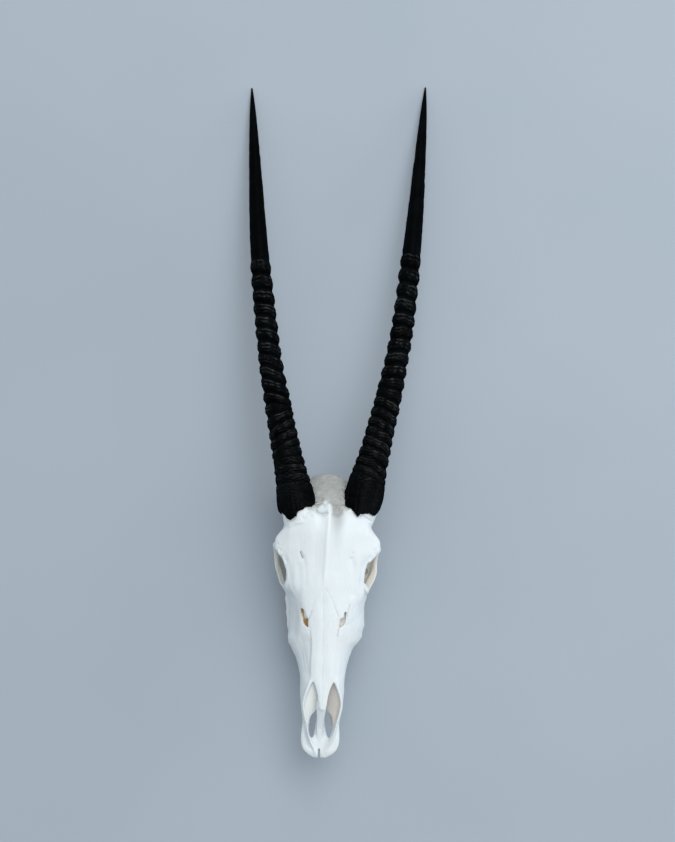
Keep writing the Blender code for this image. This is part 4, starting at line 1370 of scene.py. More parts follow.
    def brows_moved(self, places: np.ndarray) -> np.ndarray:
        """Moves the edges of the brows inward, more so on the left, and both cheeks a little to the left.

        Args:
            places: points in the face frame.

        Returns:
            The same points, moved.
        """
        _, y, z = places.T
        for side, (shift, full, none) in BROW_SHIFTS.items():
            beside = places[:, 0] * side.value
            share = ramp(beside, 42, 58) * ramp(z, -9, 1) * between(y, 236, 256, full, none)
            places[:, 0] -= side.value * shift * share
        beside = np.abs(places[:, 0])
        right = 1 - ramp(places[:, 0], -40, -30)
        cheeks = ramp(y + 12 * right, 172, 192) * (1 - ramp(y, 228, 250)) * ramp(beside, 34, 50)
        outward = 3.7 + 1.9 * right - 1.4 * (1 - right) * ramp(y, 196, 216)
        places[:, 0] += outward * cheeks * ramp(z, -50, -38)
        places[:, 0] += 2.3 * bump(y - 262, 15) * ramp(beside, 58, 68) * right
        places[:, 0] += 1.3 * bump(y - 264, 17) * ramp(places[:, 0], 60, 68)
        places[:, 0] -= 2.4 * bump(y - 155, 8) * right * ramp(z, -48, -38)
        return places

    def under_sheaths(self, places: np.ndarray) -> np.ndarray:
        """Presses the bone down where a sheath lies over it."""
        for horn in self.horns:
            rise, turn, gap, outward = horn.seen_from(places)
            cover = horn.plain_radius(rise, turn) - 1.6
            below = ramp(rise - horn.lower_edge(turn), 0.3, 1.6)
            poking = (gap > cover) * (gap < cover + 6.5) * (np.sin(turn) > -0.2) * (rise < 30) * (rise > -40)
            places = places - outward * ((gap - cover) * below * poking)[:, None]
        return places

    def masks(self, places: np.ndarray, normals: np.ndarray) -> dict:
        """Where the bone is seamed, rough, stained or lined, where the crown is grey with weathering and
        painted shade, and where other shade or light is painted on it, for its finish.

        Args:
            places: points in the face frame.
            normals: their normals.

        Returns:
            One weight from 0 to 1 for each point, under each mask's name.
        """
        x, y, z = places.T
        # Grey-beige crown behind the forehead: partly weathering of the rough bone, partly painted shade
        # where the crown falls away between the horns. The notches in front of the crown get painted shade as
        # well.
        left = between(x, 1, 5, 12, 20)
        clean = 10 * bump(x + 5, 15) * (1 - 0.8 * left) + 5 * noise(places, 6, 31, 2)
        weathered_and_shade = [ramp(y - clean + 5 * left, 347, 365 - 5 * left)]
        weathered_and_shade += [notch_shade * stripe(places, path, 3.4) for path, notch_shade in zip(CROWN_NOTCHES, (0.5, 0.7))]
        # Painted shade in the hollows on each side of the forehead's midline ridge toward the crown, wider
        # and stronger on the left: a cool grey like white bone in shade.
        off = self.relief.offset(places)
        shade = (0.25 + 0.45 * ramp(y, 300, 352)) * ramp(y, 270, 300) * bump(off - 13, 13) * ramp(off, 0.5, 4)
        forehead_shade = np.maximum(shade, 0.38 * bump(off + 7, 6) * ramp(y, 332, 352))
        lining = self.socket_lining(places, normals)
        edge = SLITS[Side.RIGHT] + SLITS[Side.RIGHT][:1]
        stain = (1 - ramp(line_distance(places, edge), 7, 11)) * ramp(y, 180, 184) * self.under_slits(places)
        return {
            "beige_and_shade": self.beige_and_shaded_walls(places, normals),
            # Painted light on the right nostril's inner wall, which faces the light: a near-white lighter
            # than the bone.
            "nostril_light": self.in_nostril(places, normals) * ramp(-x, 5.5, 8),
            "seam": self.relief.seams(places, normals),
            "rough": self.relief.rough(places, normals),
            "weathered_and_shade": np.max(weathered_and_shade, axis=0),
            "forehead_shade": forehead_shade * ramp(z, 2, 12),
            "dark": self.dark_holes(places, normals),
            "lining": lining,
            # Painted shade: a greyer, darker copy of the lining in the right eye socket.
            "dusk": lining * (1 - ramp(x, -1, 1)),
            "stain": stain,
            "rust": stain * (1 - ramp(y - 0.6 * x, 210, 222)),
        }

    def dark_holes(self, places: np.ndarray, normals: np.ndarray) -> np.ndarray:
        """Mask of the painted shade in the small openings in the eye sockets and the forehead, and in the
        front slit.

        Args:
            places: points in the face frame.
            normals: their normals.

        Returns:
            One weight from 0 to 1 for each point.
        """
        slit = (1 - ramp(line_distance(places, FRONT_SLIT), 0.9, 1.9)) * ramp(np.abs(normals[:, 0]), 0.3, 0.7)
        masks = [0.7 * self.relief.brow_pits(places) * self.relief.upper(normals), 0.7 * slit]
        for place in SOCKET_HOLES:
            gap = np.linalg.norm((places - place) / (3.2, 6.4, 16.0), axis=1)
            masks.append(0.4 - 0.4 * ramp(gap, 0.7, 1.1))
        return np.max(masks, axis=0)

    def socket_lining(self, places: np.ndarray, normals: np.ndarray) -> np.ndarray:
        """Mask of the eye sockets' inner walls.

        Args:
            places: points in the face frame.
            normals: their normals.

        Returns:
            One weight from 0 to 1 for each point.
        """
        _, y, z = places.T
        deep = ramp(-z, 22, 30) * between(y, 246, 252, 290, 296)
        masks = []
        for side in Side:
            toward = np.array(EYE_MIDDLE) * (side.value, 1, 1) - places
            gap = np.linalg.norm(toward / np.array(EYE_RADII), axis=1)
            facing = np.einsum("ij,ij->i", normals, toward) / (np.linalg.norm(toward, axis=1) + TINY)
            masks.append((1 - ramp(gap - 0.6 * deep, 1.5, 1.7)) * ramp(facing, 0.0, 0.2))
        return np.max(masks, axis=0) * (1 - ramp(z, -4, 0))

    def in_nostril(self, places: np.ndarray, normals: np.ndarray) -> np.ndarray:
        """Mask of the walls and floor of the nostrils, inside their rims.

        Args:
            places: points in the face frame.
            normals: their normals.

        Returns:
            One weight from 0 to 1 for each point.
        """
        x, y, z = places.T
        beside = np.abs(x) - read(NOSTRIL_EDGE, y, key=1, value=0)
        under = z - read(NOSTRIL_EDGE, y, key=1, value=2)
        inside = (1 - ramp(beside, -2.2, -0.6)) * (1 - ramp(under, -4.0, -1.8))
        inside *= ramp(normals[:, 2], -0.5, -0.2)
        return inside * between(y, 28, 44, 118, 126) * ramp(z, -20, -15)

    def under_slits(self, places: np.ndarray) -> np.ndarray:
        """1 for what lies under the skin of the face beside the nasal bones, 0 on the skin itself.

        Args:
            places: points in the face frame.

        Returns:
            One weight from 0 to 1 for each point.
        """
        beside, z = np.abs(places[:, 0]), places[:, 2]
        skin = 17 - 0.55 * (beside - 22)
        return (1 - ramp(z - skin, -1.5, 0.5)) * ramp(z, -14, -6) * (1 - ramp(beside, 35, 37.5))

    def beige_and_shaded_walls(self, places: np.ndarray, normals: np.ndarray) -> np.ndarray:
        """Mask of the pinkish beige of the left slit, and of the left nostril's inner wall, where it is also
        painted shade.

        Args:
            places: points in the face frame.
            normals: their normals.

        Returns:
            One weight from 0 to 1 for each point.
        """
        x, y, z = places.T
        gap = line_distance(places, SLITS[Side.LEFT] + SLITS[Side.LEFT][:1])
        slit = (1 - ramp(gap, 7, 11)) * self.under_slits(places)
        edge = bump(gap, 1.6) * self.relief.upper(normals) * ramp(z, 12, 16)
        # The left nostril's inner wall faces away from the light and gets painted shade along with its beige.
        wall = self.in_nostril(places, normals) * ramp(x, 4.5, 7) * ramp(y, 34, 52)
        return np.max((wall, 0.8 * slit, 0.35 * edge), axis=0)

    def build(self) -> bpy.types.Object:
        """Makes the finished mesh, on the ground in metres."""
        obj = reshaped(self.rough_body(), "REMESH", mode="VOXEL", voxel_size=self.voxel)
        reshaped(obj, "SMOOTH", iterations=self.smooth_rounds, factor=0.5)
        places = self.brows_moved(points_of(obj))
        put_points(obj, places)
        normals = normals_of(obj)
        places = places + normals * self.relief.height(places, normals)[:, None]
        put_points(obj, self.under_sheaths(places))
        reshaped(obj, "DECIMATE", ratio=min(1.0, self.triangles / (2 * len(obj.data.polygons))))
        places, normals = points_of(obj), normals_of(obj)
        masks = self.masks(places, normals)
        open_nose = 0.35 + 0.65 * ramp(places[:, 1], 112, 138)
        # Painted shade: the hollow mask darkens the bone where its own walls close in round it, less so in
        # the open front of the nose and in the eye sockets.
        hollow = hollowness(obj, self.hollow_reach, self.hollow_rays)
        masks["hollow"] = hollow * open_nose * (1 - 0.3 * masks["lining"])
        keep_masks(obj, masks)
        return on_ground(obj, "cranium_bone")


@dataclass(frozen=True)
class ToothSize:
    """One kind of cheek tooth: its name, length along the row, and width across it."""

    name: str
    length: float
    width: float

    def lobes(self) -> tuple:
        """Middles of the tooth's lobes along its length, as a share of half the length."""
        return (-0.48, 0.48) if self.name.startswith("molar") else (0.0,)


TOOTH_SIZES = (
    ToothSize("premolar_2", 13.0, 10.0), ToothSize("premolar_3", 15.5, 13.0),
    ToothSize("premolar_4", 15.5, 14.5), ToothSize("molar_1", 19.0, 17.0),
    ToothSize("molar_2", 21.5, 18.0), ToothSize("molar_3", 21.0, 17.0),
)


@dataclass
class CheekTeeth:
    """The twelve upper cheek teeth, with ribs, enamel crescents and worn hollows.

    The worn rings are shares of the crown's outline; the wall rings are heights over the tooth
    plane and shares of the outline.
    """

    row_start: float = 139.0
    front_out: float = 29.0
    back_out: float = 37.0
    gap: float = 0.3
    sides: int = 96
    worn: tuple = (0.12, 0.25, 0.36, 0.47, 0.57, 0.66, 0.74, 0.81, 0.87, 0.92, 0.955, 0.98)
    wall: tuple = (
        (0.35, 0.995), (1.2, 1.0), (3, 1.0), (5, 0.995), (7.5, 0.99), (10, 0.985), (12.5, 0.98),
        (14.5, 0.97), (16, 0.965), (17.5, 0.96), (21, 0.93),
    )

    def outline(self, size: ToothSize) -> np.ndarray:
        """Outer edge of the crown, ribbed on its outer side, as places across and along.

        Args:
            size: which tooth.

        Returns:
            Points of the edge, one row each.
        """
        turn = (np.arange(self.sides) + 0.5) * math.tau / self.sides
        along, across = np.cos(turn), np.sin(turn)
        square = np.maximum(np.abs(along), np.abs(across)) ** -0.6
        waist = 1 - (0.14 if len(size.lobes()) > 1 else 0.05) * np.exp(-(along * 3) ** 2)
        ribs = np.zeros(self.sides)
        for lobe in size.lobes():
            ribs += 0.045 * bump(along - lobe, 0.12)
            ribs -= 0.035 * bump(along - lobe - 0.26, 0.11) + 0.035 * bump(along - lobe + 0.26, 0.11)
        ribs *= np.where(across > 0, 1.0, 0.25)
        across = across * square * (1 + ribs) * waist * size.width / 2
        return np.column_stack((across, along * square * (size.length - self.gap) / 2))

    def chewing(self, size: ToothSize, flat: np.ndarray, seed: int) -> tuple:
        """Depth and stain of the worn surface.

        Args:
            size: which tooth.
            flat: places across and along the crown.
            seed: picks the small unevenness.

        Returns:
            Depth above the tooth plane and stain from 0 to 1, for each place.
        """
        depth = 0.9 + 0.12 * noise(np.column_stack((flat, flat[:, 0] * 0)), 1.6, seed, 2)
        stain = np.full(len(flat), 0.35)
        reach = size.length / (2.3 if len(size.lobes()) > 1 else 1.35) / 2
        for lobe in size.lobes():
            along = (flat[:, 1] - lobe * size.length / 2) / reach
            bow = flat[:, 0] + 0.10 * size.width - 0.16 * size.width * along ** 2
            pit = np.hypot(along / 0.74, bow / (0.13 * size.width))
            depth += 2.0 * (1 - ramp(pit, 0.35, 0.95)) - 0.9 * bump(pit - 1.0, 0.34)
            stain = np.maximum(stain, 1 - ramp(pit, 0.5, 1.0)) * (1 - 0.8 * bump(pit - 1.05, 0.3))
        return depth, stain

    def tooth(self, size: ToothSize, middle: float, out: float, seed: int) -> bpy.types.Object:
        """One left tooth in the face frame.

        Args:
            size: which tooth.
            middle: its middle, along the tooth plane.
            out: its middle's distance to the side.
            seed: picks the unevenness.

        Returns:
            The tooth.
        """
        edge = self.outline(size)
        level = np.ones(self.sides)
        rings, stains = [], []
        for share in self.worn:
            depth, stain = self.chewing(size, edge * share, seed)
            rim = ramp(share, 0.80, 0.93)
            rings.append((edge * share, depth * (1 - rim) + 0.1 * rim))
            stains.append(stain * (1 - 0.85 * rim))
        for up, share in self.wall:
            wave = 0.12 * noise(np.column_stack((edge, level * up)), (3, 2, 7), seed + 3, 2)
            rings.append((edge * (share + wave / np.linalg.norm(edge, axis=1))[:, None], level * up))
            gum = 0.6 * ramp(up, 8, 15)
            stains.append(0.15 + gum * (0.6 + 0.4 * noise(edge @ np.ones((2, 3)), 4, seed + 4)))
        obj = loft([over_teeth(*np.column_stack((flat + (out, middle), up))) for flat, up in rings])
        keep_masks(obj, {"stain": np.concatenate([*stains, [0.8, 0.6]])})
        return obj

    def build(self) -> dict:
        """Makes all teeth; gives them by the name of the plain tooth each one stands for."""
        total = sum(size.length for size in TOOTH_SIZES)
        front = self.row_start
        teeth = {}
        for number, size in enumerate(TOOTH_SIZES):
            middle = front + size.length / 2
            out = self.front_out + (self.back_out - self.front_out) * (middle - self.row_start) / total
            front += size.length
            for side in Side:
                obj = on_side(self.tooth(size, middle, out, 10 * number + side.value), side)
                node = side.name.lower() + "_" + size.name
                teeth[node] = on_ground(obj, node + "_crown")
        return teeth


# Shader effects, each one built once as a node group

def fed(tree: bpy.types.NodeTree, kind: str, inputs: dict, **settings) -> bpy.types.Node:
    """New shader node.

    Args:
        tree: where it goes.
        kind: its type, without the leading ShaderNode.
        inputs: for each input, by name or place, the socket or plain value that feeds it.
        settings: its other options.

    Returns:
        The node.
    """
    node = tree.nodes.new("ShaderNode" + kind)
    for name, value in settings.items():
        setattr(node, name, value)
    for place, value in inputs.items():
        if isinstance(value, bpy.types.NodeSocket):
            tree.links.new(value, node.inputs[place])
        else:
            node.inputs[place].default_value = value
    return node


def ranged(tree: bpy.types.NodeTree, value, low, high) -> bpy.types.NodeSocket:
    """Number stretched from the span low..high to 0..1, smoothly; low and high may be sockets."""
    spread = {"Value": value, "From Min": low, "From Max": high}
    return fed(tree, "MapRange", spread, interpolation_type="SMOOTHSTEP").outputs["Result"]


def clouds(tree: bpy.types.NodeTree, given: bpy.types.NodeOutputs) -> bpy.types.NodeSocket:
    """Soft uneven patches."""
    patches = fed(tree, "TexNoise", {name: given[name] for name in ("Vector", "Scale", "Detail")})
    return ranged(tree, patches.outputs[0], given["Low"], given["High"])


def grain(tree: bpy.types.NodeTree, given: bpy.types.NodeOutputs) -> bpy.types.NodeSocket:
    """Fine streaks drawn out along one direction.

    Args:
        tree: the node tree it is built in.
        given: sockets of the group's inputs.

    Returns:
        The mask.
    """
    stretch = fed(tree, "VectorMath", {0: given["Vector"], 1: given["Stretch"]}, operation="MULTIPLY")
    streaks = fed(tree, "TexNoise", {"Vector": stretch.outputs["Vector"], "Scale": 1.0, "Detail": 3.0})
    return ranged(tree, streaks.outputs[0], given["Low"], given["High"])


def pores(tree: bpy.types.NodeTree, given: bpy.types.NodeOutputs) -> bpy.types.NodeSocket:
    """Small round pits, thick in some patches and scarce in others.

    Args:
        tree: the node tree it is built in.
        given: sockets of the group's inputs.

    Returns:
        The mask.
    """
    cells = fed(tree, "TexVoronoi", {"Vector": given["Vector"], "Scale": given["Scale"]})
    pit = ranged(tree, cells.outputs["Distance"], given["Size"], 0.02)
    patches = fed(tree, "TexNoise", {"Vector": given["Vector"], "Scale": given["Patches"]})
    thick = ranged(tree, patches.outputs[0], 0.45, 0.65)
    return fed(tree, "Math", {0: pit, 1: thick}, operation="MULTIPLY").outputs["Value"]


EFFECTS = {
    Effect.CLOUDS: (clouds, {"Scale": 60.0, "Detail": 4.0, "Low": 0.3, "High": 0.7}),
    Effect.GRAIN: (grain, {"Stretch": (900.0, 60.0, 900.0), "Low": 0.3, "High": 0.7}),
    Effect.PORES: (pores, {"Scale": 700.0, "Size": 0.28, "Patches": 40.0}),
}


def effect_group(effect: Effect) -> bpy.types.NodeTree:
    """The effect's node group, built the first time it is asked for.

    Args:
        effect: which effect.

    Returns:
        The group.
    """
    group = bpy.data.node_groups.get(effect.value)
    if group is None:
        make, defaults = EFFECTS[effect]
        group = bpy.data.node_groups.new(effect.value, "ShaderNodeTree")
        group.interface.new_socket("Vector", in_out="INPUT", socket_type="NodeSocketVector")
        for name, default in defaults.items():
            kind = "NodeSocketVector" if isinstance(default, tuple) else "NodeSocketFloat"
            socket = group.interface.new_socket(name, in_out="INPUT", socket_type=kind)
            socket.default_value = default
        group.interface.new_socket("Mask", in_out="OUTPUT", socket_type="NodeSocketFloat")
        mask = make(group, group.nodes.new("NodeGroupInput").outputs)
        group.links.new(mask, group.nodes.new("NodeGroupOutput").inputs["Mask"])
    return group


class Paint:
    """One material under construction: its nodes, its shader and its colour so far."""

    def __init__(self, name: str, colour: tuple) -> None:
        """Starts the material with its shader, surface coordinates and ground colour.

        Args:
            name: name of the material.
            colour: ground colour, as red, green and blue.
        """
        self.material = bpy.data.materials.new(name)
        self.material.use_nodes = True
        self.tree = self.material.node_tree
        self.shader = next(node for node in self.tree.nodes if node.type == "BSDF_PRINCIPLED")
        self.places = self.tree.nodes.new("ShaderNodeTexCoord").outputs["Object"]
        self.colour = (*colour, 1.0)
        self.normal = None

    def effect(self, effect: Effect, **values) -> bpy.types.NodeSocket:
        """Places a shared effect with its own values and gives its mask.

        Args:
            effect: which effect.
            values: its inputs, by name in small letters.

        Returns:
            The mask.
        """
        inputs = {name.capitalize(): value for name, value in values.items()}
        inputs["Vector"] = self.places
        return fed(self.tree, "Group", inputs, node_tree=effect_group(effect)).outputs["Mask"]

    def mask(self, name: str, low: float = 0.0, high: float = 1.0) -> bpy.types.NodeSocket:
        """A mask stored on the mesh, stretched between low and high."""
        node = fed(self.tree, "Attribute", {}, attribute_name=name)
        return ranged(self.tree, node.outputs["Fac"], low, high)

    def times(self, first, second) -> bpy.types.NodeSocket:
        """Product of two numbers; each may be a socket or a plain number."""
        return fed(self.tree, "Math", {0: first, 1: second}, operation="MULTIPLY").outputs["Value"]

    def blend(self, mask: bpy.types.NodeSocket, low: float, high: float) -> bpy.types.NodeSocket:
        """Number that goes from low to high with the mask."""
        spread = {"Value": mask, "To Min": low, "To Max": high}
        return fed(self.tree, "MapRange", spread).outputs["Result"]

    def coat(self, mask: bpy.types.NodeSocket, colour: tuple, share: float = 1.0) -> None:
        """Lays a colour over the others where the mask is 1; share weakens it.

        Args:
            mask: where the colour lies.
            colour: red, green and blue.
            share: how much of it covers what lies under it.
        """
        mask = mask if share == 1.0 else self.times(mask, share)
        inputs = {0: mask, 6: self.colour, 7: (*colour, 1.0)}
        self.colour = fed(self.tree, "Mix", inputs, data_type="RGBA").outputs[2]

    def relief(self, height: bpy.types.NodeSocket, distance: float, strength: float) -> None:
        """Adds bumps of a height over those laid before.

        Args:
            height: the bumps, from 0 to 1.
            distance: their height in metres.
            strength: how strongly they show.
        """
        inputs = {"Strength": strength, "Distance": distance, "Height": height}
        if self.normal is not None:
            inputs["Normal"] = self.normal
        self.normal = fed(self.tree, "Bump", inputs).outputs["Normal"]

    def finish(self, roughness: bpy.types.NodeSocket) -> bpy.types.Material:
        """Joins colour, roughness and normal to the shader."""
        for name, value in (("Base Color", self.colour), ("Roughness", roughness), ("Normal", self.normal)):
            self.tree.links.new(value, self.shader.inputs[name])
        return self.material


@dataclass(frozen=True)
class BoneFinish:
    """Clean, cool white bone, beige in its hollows, grey-beige where rough, rust-brown in the face slits.

    The cool cast is painted light, standing in for the blue light off the backdrop. The beige in the hollows
    comes with painted shade, and the grey-beige where rough is partly weathering and partly painted shade.
    Painted shade also lies beside the forehead ridge, in the right eye socket, on the left nostril's wall and
    in the small openings; the right nostril's wall is painted light.
    """

    # The cool blue of the white is painted light, standing in for the blue light off the backdrop.
    white: tuple = (0.775, 0.855, 0.90)
    warm: tuple = (0.745, 0.795, 0.815)
    # Beige with painted shade, then deeper painted shade, laid on by how shut in the bone is.
    hollow: tuple = (0.55, 0.50, 0.42)
    deep: tuple = (0.32, 0.28, 0.22)
    lining: tuple = (0.80, 0.775, 0.70)
    # Pinkish beige; on the left nostril's wall it is also painted shade.
    beige_and_shade: tuple = (0.78, 0.735, 0.685)
    # Near-white painted light for the right nostril's inner wall.
    nostril_light: tuple = (0.93, 0.95, 0.935)
    # Greyer, darker copy of the lining for the right eye socket: painted shade.
    dusk: tuple = (0.71, 0.725, 0.68)
    # Cool grey of the painted shade beside the forehead ridge.
    forehead_shade: tuple = (0.37, 0.41, 0.42)
    # Grey-beige of the crown: partly weathering, partly painted shade.
    rough: tuple = (0.345, 0.355, 0.33)
    seam: tuple = (0.42, 0.44, 0.43)
    stain: tuple = (0.40, 0.265, 0.125)
    rust: tuple = (0.30, 0.165, 0.055)
    # Near-black painted shade inside the small openings and the front slit.
    dark: tuple = (0.045, 0.042, 0.035)

    def build(self) -> bpy.types.Material:
        """Makes the material."""
        paint = Paint("bone", self.white)
        patches = paint.effect(Effect.CLOUDS, scale=26.0, detail=5.0, low=0.38, high=0.72)
        paint.coat(patches, self.warm, 0.55)
        streaks = paint.effect(Effect.GRAIN, stretch=(520.0, 70.0, 520.0), low=0.42, high=0.75)
        paint.coat(streaks, self.warm, 0.35)
        pits = paint.effect(Effect.PORES, scale=520.0, size=0.30, patches=34.0)
        paint.coat(pits, self.seam, 0.5)
        # Painted shade beside the forehead ridge.
        paint.coat(paint.mask("forehead_shade", 0.1, 0.9), self.forehead_shade, 0.9)
        mottled = paint.effect(Effect.CLOUDS, scale=130.0, detail=6.0, low=0.30, high=0.68)
        # Mottled grey-beige crown: partly weathering, partly painted shade.
        crown_grey_and_shade = paint.times(paint.mask("weathered_and_shade", 0.1, 0.9), paint.blend(mottled, 0.84, 1.0))
        paint.coat(crown_grey_and_shade, self.rough, 0.9)
        # Painted shade in the hollows, partly a beige tint: beige where half shut in, deep brown-grey further
        # in.
        paint.coat(paint.mask("hollow", 0.34, 0.70), self.hollow, 0.8)
        paint.coat(paint.mask("hollow", 0.66, 0.95), self.deep, 0.8)
        paint.coat(paint.mask("lining", 0.1, 0.7), self.lining)
        # Painted shade in the right eye socket.
        paint.coat(paint.mask("dusk", 0.1, 0.7), self.dusk)
        # Painted light on the right nostril's wall.
        paint.coat(paint.mask("nostril_light", 0.1, 0.9), self.nostril_light)
        # Pinkish beige of the left slit, and beige with painted shade on the left nostril's wall.
        paint.coat(paint.mask("beige_and_shade", 0.1, 0.9), self.beige_and_shade)
        paint.coat(paint.mask("seam", 0.25, 0.95), self.seam, 0.55)
        blotches = paint.effect(Effect.CLOUDS, scale=190.0, detail=4.0, low=0.30, high=0.62)
        paint.coat(paint.times(paint.mask("stain", 0.15, 0.7), paint.blend(blotches, 0.6, 1.0)), self.stain)
        paint.coat(paint.mask("rust", 0.1, 0.9), self.rust)
        # Painted shade in the small openings and the front slit.
        paint.coat(paint.mask("dark", 0.1, 0.95), self.dark)
        paint.relief(streaks, 0.00022, 0.35)
        paint.relief(paint.blend(pits, 1.0, 0.0), 0.0005, 0.55)
        fine = paint.effect(Effect.CLOUDS, scale=420.0, detail=6.0, low=0.2, high=0.8)
        paint.relief(paint.times(fine, paint.mask("rough", 0.05, 0.7)), 0.0007, 0.6)
        return paint.finish(paint.blend(patches, 0.46, 0.62))


@dataclass(frozen=True)
class KeratinFinish:
    """Near-black horn with a soft sheen, brown-grey along the dry collar and on the ring crests.

    The brown-grey lines on the ring crests are painted highlights, with some wear.
    """

    black: tuple = (0.0003, 0.0007, 0.0009)
    dull: tuple = (0.0012, 0.0022, 0.0028)
    # Brown-grey of the pale ring lines: painted highlights, with some wear.
    worn: tuple = (0.027, 0.032, 0.034)
    dry: tuple = (0.0060, 0.0075, 0.0080)
    low_sheen: float = 0.025
    high_sheen: float = 0.235
    edge_start: float = 0.25
    edge_end: float = 0.75

    def build(self) -> bpy.types.Material:
        """Makes the material."""
        paint = Paint("keratin", self.black)
        paint.coat(paint.effect(Effect.CLOUDS, scale=34.0, detail=5.0, low=0.35, high=0.7), self.dull)
        scuffs = paint.effect(Effect.CLOUDS, scale=160.0, detail=6.0, low=0.42, high=0.70)
        # Pale lines on the rings: painted highlights, with some wear.
        ridge = paint.mask("worn", 0.2, 1.0)
        paint.coat(paint.times(paint.blend(scuffs, 0.25, 1.0), ridge), self.worn, 0.85)
        streaks = paint.effect(Effect.GRAIN, stretch=(800.0, 45.0, 800.0), low=0.46, high=0.72)
        paint.coat(paint.times(scuffs, paint.mask("collar", 0.1, 1.0)), self.dry, 0.3)
        paint.coat(paint.mask("crack", 0.2, 0.9), self.black)
        # The sheen is cut where the horn turns away from the camera and in the ring valleys: painted shade
        # that leaves the outline and the valleys black.
        weight = paint.tree.nodes.new("ShaderNodeLayerWeight")
        gloss = paint.blend(ridge, self.low_sheen, self.high_sheen)
        for factor in (paint.blend(paint.mask("point"), 1.0, 0.70),
                       paint.blend(paint.mask("valley"), 1.0, 0.15),
                       ranged(paint.tree, weight.outputs["Facing"], self.edge_end, self.edge_start)):
            gloss = paint.times(gloss, factor)
        paint.tree.links.new(gloss, paint.shader.inputs["Specular IOR Level"])
        paint.relief(streaks, 0.00025, 0.3)
        paint.relief(paint.effect(Effect.CLOUDS, scale=520.0, detail=5.0, low=0.25, high=0.8), 0.00022, 0.4)
        return paint.finish(paint.blend(streaks, 0.34, 0.50))


@dataclass(frozen=True)
class EnamelFinish:
    """Ivory enamel, stained brown in its pits and near the bone."""

    ivory: tuple = (0.78, 0.75, 0.67)
    cream: tuple = (0.66, 0.60, 0.47)
    brown: tuple = (0.17, 0.105, 0.055)

    def build(self) -> bpy.types.Material:
        """Makes the material."""
        paint = Paint("enamel", self.ivory)
        paint.coat(paint.effect(Effect.CLOUDS, scale=150.0, detail=4.0, low=0.35, high=0.7), self.cream, 0.6)
        blotches = paint.effect(Effect.CLOUDS, scale=260.0, detail=5.0, low=0.25, high=0.7)
        stain = paint.times(paint.mask("stain", 0.15, 1.0), paint.blend(blotches, 0.6, 1.0))
        paint.coat(stain, self.brown, 0.9)
        paint.relief(blotches, 0.0002, 0.4)
        return paint.finish(paint.blend(stain, 0.26, 0.55))


@dataclass(frozen=True)
class FloorFinish:
    """Plain pale blue-grey backdrop paper."""

    near: tuple = (0.388, 0.452, 0.520)
    far: tuple = (0.372, 0.436, 0.505)

    def build(self) -> bpy.types.Material:
        """Makes the material."""
        paint = Paint("backdrop", self.near)
        patches = paint.effect(Effect.CLOUDS, scale=2.2, detail=2.0, low=0.3, high=0.7)
        paint.coat(patches, self.far)
        paint.relief(paint.effect(Effect.CLOUDS, scale=900.0, detail=3.0, low=0.3, high=0.7), 0.0001, 0.2)
        return paint.finish(paint.blend(patches, 0.85, 0.92))


